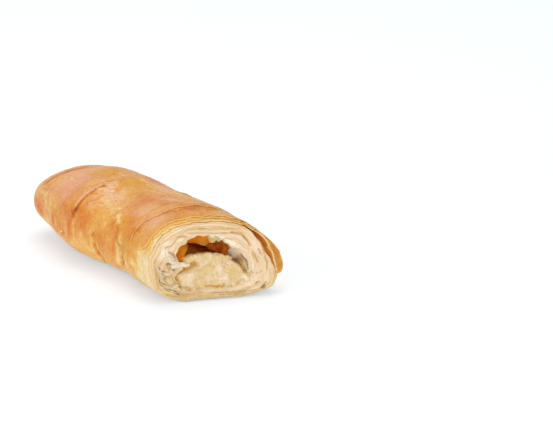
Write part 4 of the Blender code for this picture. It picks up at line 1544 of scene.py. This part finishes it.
def filling_lumps():
    """The lumps and strands of chicken: large ones that show on the cut, small ones, and those on top."""
    dice = random.Random(31)
    lump = shred_form(0)
    strand = shred_form(1)
    laid = []
    for y, z, size in FACE_LUMPS:
        spot = place(1.0, y * MM, z * MM) - Vector((size * 0.42 * MM, 0, 0))
        turn = tumbled(dice, "X", 0.4, "Z")
        laid.append(lay_lump(lump, spot, size * 0.78 * MM, turn))
    for _ in range(16):
        angle = dice.uniform(0, 6.28)
        part = math.sqrt(dice.uniform(0.0, 0.80))
        spot = from_core(1.0, angle, filling_reach(1.0, angle) * part)
        turn = tumbled(dice, "X", 0.5, "Y")
        if dice.random() < 0.55:
            size = dice.uniform(0.7, 1.3) * MM
            laid.append(lay_lump(lump, spot + Vector((dice.uniform(-0.2, 0.25) * MM, 0, 0)), size, turn))
        else:
            turn = Matrix.Rotation(dice.uniform(0, 6.28), 4, "X") @ Matrix.Rotation(math.pi / 2, 4, "Z")
            size = dice.uniform(0.7, 1.05) * MM
            laid.append(lay_lump(strand, spot + Vector((dice.uniform(-0.1, 0.2) * MM, 0, 0)), size, turn))
    for _ in range(110):
        angle = math.radians(dice.uniform(25, 150))
        share = 1.0 - (0.4 + 26 * dice.random() ** 2) * MM / LENGTH
        spot = from_core(share, angle, filling_reach(share, angle) - 0.3 * MM)
        turn = tumbled(dice, "Z", 0.4, "X")
        form = lump if dice.random() < 0.6 or share > 1.0 - 4 * MM / LENGTH else strand
        laid.append(lay_lump(form, spot, dice.uniform(0.45, 0.85) * MM, turn))
    for form in (lump, strand):
        bpy.data.objects.remove(form, do_unlink=True)
    return laid


# Dents in the filling on the cut: way as (y, z) in mm, half width, depth, how much painted shade darkens it.
# They are the recess under the shard, its left edge, a streak, and the far side.
DENTS = (
    (((-2.6, 14.9), (-5.2, 13.3), (-8.0, 12.5)), 1.0, 1.3, 1.5),
    (((-9.4, 11.6), (-8.9, 8.6), (-8.6, 6.5)), 0.75, 0.7, 1.3),
    (((0.6, 5.9), (3.9, 5.4), (6.7, 5.5)), 0.52, 0.5, 1.3),
    (((12.6, 15.2), (14.2, 12.6), (15.2, 10.6)), 0.9, 1.4, 0.9),
)


# Large lumps of the filling that show on the cut: (y, z) and radius in mm
FACE_LUMPS = (
    (2.7, 12.5, 2.9), (9.8, 11.8, 2.6), (6.0, 16.0, 2.0), (-4.6, 9.6, 2.9), (11.7, 8.6, 2.4),
    (-0.8, 14.2, 2.2), (7.0, 7.8, 2.6), (-0.8, 7.5, 2.6), (14.4, 9.0, 2.0), (6.6, 12.0, 2.2),
    (3.0, 16.6, 1.6), (12.0, 12.8, 1.8), (-7.2, 7.6, 1.8), (15.4, 7.6, 1.6), (10.6, 5.6, 1.6),
    (-3.6, 5.0, 1.6), (4.0, 4.6, 1.6), (16.6, 9.6, 1.2),
)
# Yellow stains on the ring, and yellow and whitish places in the filling on the cut: (y, z), half width and
# half height in mm, strength
RING_STAINS = ((-12.9, 3.9, 2.0, 1.3, 1.0), (20, 4.5, 2.5, 2.0, 0.4))
YELLOW_SPOTS = (
    (2.6, 12.6, 0.9, 2.2, 0.9),
    (9.6, 11.6, 1.5, 1.3, 0.9),
    (-0.9, 7.6, 1.3, 1.5, 0.7),
    (11.2, 8.7, 0.8, 0.7, 0.8),
    (6.3, 15.4, 1.0, 1.0, 0.6),
    (8.8, 10.4, 0.7, 0.7, 0.8),
    (-2.2, 11.4, 1.2, 1.0, 0.3),
    (13.6, 11.0, 0.7, 1.0, 0.6),
    (7.9, 13.0, 0.7, 1.7, 0.8),
    (11.6, 13.4, 0.8, 1.1, 0.6),
    (10.8, 10.6, 0.9, 0.8, 0.5),
    (3.6, 7.0, 1.4, 0.9, 0.4),
)
WHITE_SPOTS = (
    (5.6, 12.8, 1.8, 1.8, 0.7),
    (-4.4, 10.6, 1.8, 1.5, 0.8),
    (0.2, 15.6, 1.6, 1.0, 0.6),
    (8.8, 14.2, 1.4, 0.7, 0.4),
    (7.7, 9.0, 1.3, 1.1, 0.8),
    (14.2, 8.2, 1.6, 1.4, 0.9),
    (-5.4, 7.4, 1.2, 1.6, 0.6),
    (12.8, 12.2, 0.8, 1.0, 0.2),
    (1.6, 8.8, 1.3, 1.0, 0.6),
)


def spots(y, z, table):
    """How strongly the spots in the table colour this place."""
    total = 0.0
    for spot_y, spot_z, half_width, half_height, amount in table:
        dy = (y / MM - spot_y) / half_width
        dz = (z / MM - spot_z) / half_height
        if abs(dy) < 2.5 and abs(dz) < 2.5:
            total += amount * math.exp(-(dy * dy + dz * dz))
    return total


def dent(spot, dents):
    """Depth in mm, and painted shade, of the dents at this spot of the cut."""
    depth = 0.0
    darkness = 0.0
    for way, half_width, sunk, dark in dents:
        amount = math.exp(-((way_distance(spot, way) / half_width) ** 2))
        depth += sunk * amount
        darkness += dark * amount
    return depth, darkness


def merge_lumps(body, laid):
    """Makes the filling and what is laid on it one smooth surface."""
    hold(body)
    for piece in laid:
        piece.select_set(True)
    bpy.ops.object.join()
    body.data.remesh_voxel_size = FILLING_GRAIN
    bpy.ops.object.voxel_remesh()
    settle = body.modifiers.new("settle", "SMOOTH")
    settle.factor = 0.5
    settle.iterations = 9
    bpy.ops.object.modifier_apply(modifier="settle")


def build_filling():
    """The filling with its lumps, its fibres, the dents on the cut and the sauce in the air gap."""
    body = filling_body()
    merge_lumps(body, filling_lumps())
    dents = []
    for way, half_width, sunk, dark in DENTS:
        dents.append(([Vector(point) * MM for point in way], half_width * MM, sunk, dark))
    made = {"painted_dent_shade": [], "stained": [], "roasted": [], "yellowed": [], "whitened": []}
    normals = [vertex.normal.copy() for vertex in body.data.vertices]
    for vertex, normal in zip(body.data.vertices, normals):
        raw = vertex.co - TO_FRAME
        y, z = raw.y, raw.z
        depth = place(1.0, y, z).x - raw.x
        proud = -depth - 0.5 * MM
        if proud > 0:
            vertex.co.x -= 0.8 * proud
        fibre = Vector((raw.x, y * 2.2, z * 2.2)) / (2.0 * MM)
        vertex.co += normal * (0.20 * MM * noise.noise(fibre) + 0.05 * MM * noise.noise(raw / (0.9 * MM)))
        sunken = smooth((z - 11 * MM) / (4 * MM)) * smooth((depth - 1.5 * MM) / (5 * MM))
        vertex.co.z -= 1.9 * MM * sunken
        at_face = smooth(1 - (depth - 1 * MM) / (2 * MM))
        dented, darkness = dent(Vector((y, z)), dents)
        vertex.co.x -= at_face * dented * MM
        top = smooth((z - 10 * MM) / (3 * MM))
        shallow = smooth(2 - depth / (1.5 * MM))
        made["painted_dent_shade"].append(min(at_face * darkness, 1.0))
        made["stained"].append(top * smooth((depth - 0.8 * MM) / (2.2 * MM)))
        made["roasted"].append(top * smooth((depth - 5 * MM) / (4 * MM)) * smooth((y - 2.5 * MM) / (3 * MM)))
        made["yellowed"].append(shallow * min(spots(y, z, YELLOW_SPOTS), 1.0))
        made["whitened"].append(shallow * min(spots(y, z, WHITE_SPOTS), 1.0))
    add_tints(body.data, made)
    hold(body)
    bpy.ops.object.shade_smooth()
    return body


# ---------------------------------------------------------------------------
# Torn leaves on the cut
# ---------------------------------------------------------------------------
def thicken(piece, thickness):
    """Gives a leaf its thickness and rounds its edges."""
    hold(piece)
    wall = piece.modifiers.new("wall", "SOLIDIFY")
    wall.thickness = thickness
    wall.offset = 0
    bpy.ops.object.modifier_apply(modifier="wall")
    soften = piece.modifiers.new("soften", "SUBSURF")
    soften.levels = 1
    soften.render_levels = 1
    bpy.ops.object.modifier_apply(modifier="soften")
    bpy.ops.object.shade_smooth()
    return piece


def roof_shades(u, v):
    """Tints of the leaf in the roof of the air gap: brown on the left, browner below as a painted shade where
    it meets the dark air gap, and tan on the right.
    """
    brown = 0.20 + 0.50 * (1 - v) + 0.35 * smooth(1 - u / 0.25) - 0.34 * smooth((u - 0.6) / 0.3) * v
    return tints(inside=1.0 - 0.4 * smooth((u - 0.55) / 0.3) * v, burnt_and_shade=min(brown, 1.0), tone=-0.6)


def gap_side_shades(u, v):
    """Tints of the leaf at the near end of the air gap: orange, browner at its rim and above."""
    brown = 0.33 + 0.40 * smooth(1 - 3 * v) + 0.40 * smooth(2.5 * u - 1.5)
    return tints(inside=1.0, burnt_and_shade=min(brown, 1.0))


def plain(tone):
    """Shades of a leaf that has one tone."""
    return lambda u, v: tints(tone=tone)


# Torn leaves that stand out of the cut: their upper and lower edge from root to tip as (y, z) in mm, how far
# root and tip stand out in mm, shades
SHARDS = (
    (
        "shard_near",
        ((-10.4, 16.1), (-7.9, 16.2), (-6.3, 16.0), (-4.7, 15.5)),
        ((-10.3, 13.5), (-7.8, 13.9), (-6.4, 14.3), (-4.7, 15.2)),
        (-0.8, 0.9),
        plain(0.3),
    ),
    (
        "shard_upper",
        ((-10.1, 20.0), (-9.5, 18.4), (-9.0, 17.0), (-8.1, 16.3)),
        ((-11.2, 20.0), (-11.6, 18.2), (-11.3, 16.6), (-9.9, 15.9)),
        (-0.8, 0.3),
        plain(0.1),
    ),
    (
        "shard_under",
        ((-13.3, 12.4), (-12.0, 12.6), (-11.2, 12.1)),
        ((-13.2, 11.4), (-12.0, 11.2), (-11.3, 11.7)),
        (-0.9, 0.0),
        plain(-0.2),
    ),
    (
        "shard_low",
        ((-12.9, 7.4), (-11.0, 7.0), (-9.4, 7.8)),
        ((-12.5, 6.1), (-10.9, 5.6), (-9.3, 7.2)),
        (-0.7, 0.3),
        plain(-0.2),
    ),
    (
        "roof_leaf",
        ((-4.6, 23.6), (-1.2, 25.2), (2.2, 25.9), (5.6, 25.0)),
        ((-4.3, 22.8), (-1.0, 22.6), (2.2, 21.4), (5.4, 20.6)),
        (-2.6, -1.9),
        roof_shades,
    ),
    (
        "gap_side",
        ((-6.4, 15.4), (-4.4, 17.2), (-3.2, 19.4), (-2.2, 21.6)),
        ((-9.0, 15.4), (-8.4, 18.6), (-6.8, 21.8), (-4.6, 24.4)),
        (-2.6, -3.2),
        gap_side_shades,
    ),
)
# Leaves that have come loose on the cut and stand out of it: the way of the edge as (y, z) in mm, how far it
# stands out, tone
LOOSE_LEAVES = (
    ("loose_1", ((-15.9, 17.5), (-15.3, 14.5), (-13.9, 12.4), (-12.2, 11.6)), 0.15, 0.1),
    ("loose_2", ((-15.0, 11.6), (-14.2, 9.4), (-12.8, 8.0), (-11.4, 6.9), (-10.0, 6.3)), 0.15, 0.0),
    ("loose_3", ((-12.6, 5.7), (-11.0, 4.5), (-9.2, 3.9), (-7.0, 3.6)), 0.15, -0.1),
    ("loose_4", ((20.8, 7.5), (20.4, 5.2), (19.3, 4.1), (17.2, 3.5)), 0.15, -0.1),
    ("loose_5", ((7.8, 24.7), (11.5, 23.6), (14.4, 21.3), (16.3, 18.2)), 0.10, 0.2),
)


def smooth_way(points, t):
    """A point at t, from 0 to 1, on a smooth line through the points."""
    table = [(k / (len(points) - 1), *point) for k, point in enumerate(points)]
    return Vector((curve(table, t, 1), curve(table, t, 2))) * MM


def leaf_on_cut(name, columns, rows, thickness, shades, spot_at):
    """A thin leaf at the cut. spot_at gives (y, z) and the way out of the cut for two shares of its size."""
    piece = grid(name, columns, rows)
    made = {}
    for vertex in piece.data.vertices:
        u = (vertex.co.x + 1) / 2
        v = (vertex.co.y + 1) / 2
        for key, value in shades(u, v).items():
            made.setdefault(key, []).append(value)
        y, z, out = spot_at(u, v)
        vertex.co = place(1.0, y, z) + Vector((out, 0, 0)) + TO_FRAME
    add_tints(piece.data, made)
    return thicken(piece, thickness)


def seed_of(name):
    """A number for the noise of this piece."""
    return sum(ord(letter) for letter in name) * 0.37


def shard(name, upper, lower, forward, shades):
    """A torn leaf between its upper and lower edge."""
    seed = seed_of(name)

    def spot_at(u, v):
        side = smooth_way(upper, u) - smooth_way(lower, u)
        spot = smooth_way(lower, u).lerp(smooth_way(upper, u), v)
        uneven = noise_at(u * 5, seed, 0.0) + 0.5 * noise_at(u * 13, seed, 3.0)
        spot += side.normalized() * 0.35 * MM * uneven * abs(2 * v - 1) * smooth((1 - u) * 6)
        out = forward[0] + (forward[1] - forward[0]) * smooth(u)
        out += 0.55 * noise_at(u * 2.2, v * 2.2, seed) + 0.25 * noise_at(u * 6, v * 5, seed)
        out += 0.35 * (1 - (2 * v - 1) ** 2)
        return spot.x, spot.y, out * MM

    return leaf_on_cut(name, 22, 12, TORN_LEAF, shades, spot_at)


def loose_leaf(name, way, stands_out, tone):
    """The torn edge of one leaf that stands out of the cut."""
    seed = seed_of(name)

    def spot_at(u, v):
        spot = smooth_way(way, u)
        ahead = smooth_way(way, min(u + 0.02, 1.0)) - smooth_way(way, max(u - 0.02, 0.0))
        side = Vector((-ahead.y, ahead.x)).normalized()
        spot += side * (0.45 * noise_at(u * 5, v * 2, seed) + 0.25 * v * v) * MM
        ends = smooth(u * 3) * smooth((1 - u) * 3)
        torn = 0.55 * noise_at(u * 5, seed, 1.0) + 0.35 * noise_at(u * 14, seed, 1.0)
        return spot.x, spot.y, (-1.6 + v * (0.9 + (stands_out + 0.5 + torn) * ends)) * MM

    return leaf_on_cut(name, 36, 8, TORN_LEAF, plain(tone), spot_at)


# Upper and lower edge of the flap in the air gap, as (y, z) in mm
FLAP_TOP = (
    (3.0, 22.3), (3.7, 23.1), (4.4, 22.4), (5.1, 22.0), (5.5, 23.7), (6.1, 23.2),
    (6.8, 22.7), (7.5, 23.8), (8.2, 22.7), (9.3, 22.0), (10.2, 20.8),
)
FLAP_FOOT = (
    (3.0, 21.2), (4.0, 19.8), (5.4, 19.0), (6.2, 18.4), (7.6, 17.6), (8.4, 16.8), (9.4, 17.0), (10.2, 17.6),
)
# The pale leaf above the flap, and the innermost leaf on the far side, in the same way
LIP_TOP = ((2.6, 26.0), (4.4, 25.8), (6.4, 25.2), (8.6, 23.9))
LIP_FOOT = ((3.1, 23.3), (4.2, 22.7), (5.6, 23.0), (7.0, 22.9), (8.6, 22.4))
WALL_EDGE = ((8.2, 22.6), (10.2, 20.9), (12.5, 19.5), (14.2, 16.9), (15.3, 14.3), (15.9, 10.8))
WALL_FOOT = ((8.0, 18.4), (9.6, 17.4), (11.3, 15.8), (12.6, 14.0), (13.6, 12.0), (14.6, 10.0))


def roof_flap():
    """A browned flap of the innermost leaf that hangs from the roof of the air gap."""
    left = FLAP_TOP[0][0]
    width = 7.2

    def spot_at(u, v):
        y = left + width * u
        top = curve(FLAP_TOP, y) + 0.15 * noise_at(u * 17, 5.0, 4.0)
        low = curve(FLAP_FOOT, y) + 0.5 * noise_at(u * 7, 2.0, 1.0)
        low += 0.4 * noise_at(u * 17, 2.0, 4.0)
        inward = 2.2 * smooth(1.25 - 1.25 * v) + 1.2 * noise_at(u * 3.5, v * 2.5, 6.0) * (1 - v)
        return y * MM, (low + (top - low) * v) * MM, -max(inward, -0.1) * MM

    def shades(u, v):
        pale = smooth(1 - abs(u - 0.85) / 0.14) * smooth(1.6 - 2 * v)
        return tints(inside=1.0, burnt_and_shade=0.95 - 0.30 * pale - 0.25 * abs(noise_at(u * 9, v * 4, 1.0)))

    return leaf_on_cut("roof_flap", 60, 20, GAP_LEAF, shades, spot_at)


def roof_lip():
    """A pale leaf that hangs over the air gap above the flap."""

    def spot_at(u, v):
        spot = smooth_way(LIP_FOOT, u).lerp(smooth_way(LIP_TOP, u), v)
        spot.y += 0.25 * MM * noise_at(u * 11, 3.0, 1.0) * (1 - v)
        return spot.x, spot.y, (-0.35 - 0.25 * v + 0.3 * noise_at(u * 4, v * 3, 5.0)) * MM

    def shades(u, v):
        olive = smooth(1 - abs(u - 0.22) / 0.26) * smooth(1 - abs(v - 0.30) / 0.35)
        orange = smooth(1 - u / 0.3)
        return tints(
            tone=-0.9,
            gap=0.3 + 0.7 * olive,
            stain=0.15 + 0.2 * olive,
            inside=0.7 * orange,
            burnt_and_shade=0.42 * orange,
        )

    return leaf_on_cut("roof_lip", 30, 10, GAP_LEAF, shades, spot_at)


def far_wall():
    """The innermost leaf on the far side of the air gap, from the cut down to the filling."""

    def spot_at(u, v):
        spot = smooth_way(WALL_EDGE, u).lerp(smooth_way(WALL_FOOT, u), v)
        inward = 0.5 + 3.4 * smooth(v) + 0.5 * noise_at(u * 6, v * 2, 9.0)
        inward += 0.25 * noise_at(u * 15, v * 4, 2.0)
        return spot.x, spot.y, -inward * MM

    def shades(u, v):
        olive = smooth((u - 0.48) / 0.2)
        browned = 0.5 * smooth((0.32 - u) / 0.16) + 0.10 + 0.26 * v * v
        browned += 0.45 * smooth(1 - abs(u - 0.66) / 0.18)
        return tints(gap=0.8 * olive, tone=-0.3 + 0.2 * v, burnt_and_shade=min(browned, 1.0))

    return leaf_on_cut("far_wall", 40, 14, GAP_LEAF, shades, spot_at)


# ---------------------------------------------------------------------------
# Putting it together
# ---------------------------------------------------------------------------
crust_finish = baked_crust()
cut_finish = cut_pastry()
cream_finish = chicken_cream()

skin_columns = skin_angles(SKIN_COLUMNS)
ring_columns = skin_angles(RING_COLUMNS)
finish_piece(wrap("crust", crust_rings(), skin_columns), crust_finish, "pastry")
for number, name in ((1, "leaf_golden"), (2, "leaf_middle"), (3, "leaf_pale")):
    finish_piece(wrap(name, leaf_rings(number), skin_columns, looped=True), crust_finish)
finish_piece(wrap("cut_ring", ring_rings(), ring_columns, looped=True), cut_finish)
for row in SHARDS:
    finish_piece(shard(*row), cut_finish)
for name, way, stands_out, tone in LOOSE_LEAVES:
    finish_piece(loose_leaf(name, way, stands_out, tone), cut_finish)
for make in (roof_flap, roof_lip, far_wall):
    finish_piece(make(), cut_finish)
finish_piece(build_filling(), cream_finish, "filling")

# ---------------------------------------------------------------------------
# Floor, light and camera
# ---------------------------------------------------------------------------
deselect_all()
bpy.ops.mesh.primitive_plane_add(size=6, location=(0, 0, -0.02 * MM))
floor = bpy.context.object
floor.name = "floor"
floor_finish = Recipe("pale_floor")
floor_finish.set(Base_Color=(0.92, 0.785, 0.66, 1.0), Roughness=0.9, Specular_IOR_Level=0.1)
floor_finish.set(Emission_Color=(0.24, 0.65, 1.0, 1.0), Emission_Strength=0.41)
floor.data.materials.append(floor_finish.material)

scene = bpy.context.scene
scene.view_settings.view_transform = "Standard"
scene.view_settings.look = "None"
world = bpy.data.worlds.new("studio")
scene.world = world
world.use_nodes = True
sky = world.node_tree.nodes["Background"]
sky.inputs["Color"].default_value = (1.0, 1.0, 1.0, 1.0)
sky.inputs["Strength"].default_value = 0.60


def add_softbox(name, at, towards, size, power):
    """A large soft light at one place, turned towards another."""
    light = bpy.data.lights.new(name, "AREA")
    light.shape = "RECTANGLE"
    light.size, light.size_y = size
    light.energy = power
    holder = bpy.data.objects.new(name, light)
    scene.collection.objects.link(holder)
    holder.location = at
    holder.rotation_euler = (Vector(at) - Vector(towards)).to_track_quat("Z", "Y").to_euler()


add_softbox("softbox_above", (-0.15, 0.15, 0.85), (0.0, 0.0, 0.0), (0.7, 0.6), 2.6)
add_softbox("softbox_front", (0.80, -0.40, 0.27), (0.03, 0.0, 0.01), (0.45, 0.35), 2.4)
add_softbox("softbox_near", (-0.20, -0.80, 0.42), (0.0, 0.0, 0.01), (0.7, 0.4), 1.7)

# The camera stands where the photograph was taken from.
AZIMUTH = math.radians(50)
ELEVATION = math.radians(22)
CAMERA_DISTANCE = 909 * MM
FOCAL_LENGTH = 2350  # in pixels of the photo
PHOTO_WIDTH = 553
level = math.cos(ELEVATION)
back = Vector((math.sin(AZIMUTH) * level, -math.cos(AZIMUTH) * level, math.sin(ELEVATION)))
LOOK_AT = Vector((8.953, 28.591, 28.512)) * MM + Vector((LENGTH, 0, 0)) + TO_FRAME
lens = bpy.data.cameras.new("camera")
camera = bpy.data.objects.new("camera", lens)
scene.collection.objects.link(camera)
camera.location = LOOK_AT + back * CAMERA_DISTANCE
camera.rotation_euler = back.to_track_quat("Z", "Y").to_euler()
lens.sensor_width = 36
lens.lens = FOCAL_LENGTH / PHOTO_WIDTH * lens.sensor_width
lens.clip_start = 0.01
scene.camera = camera
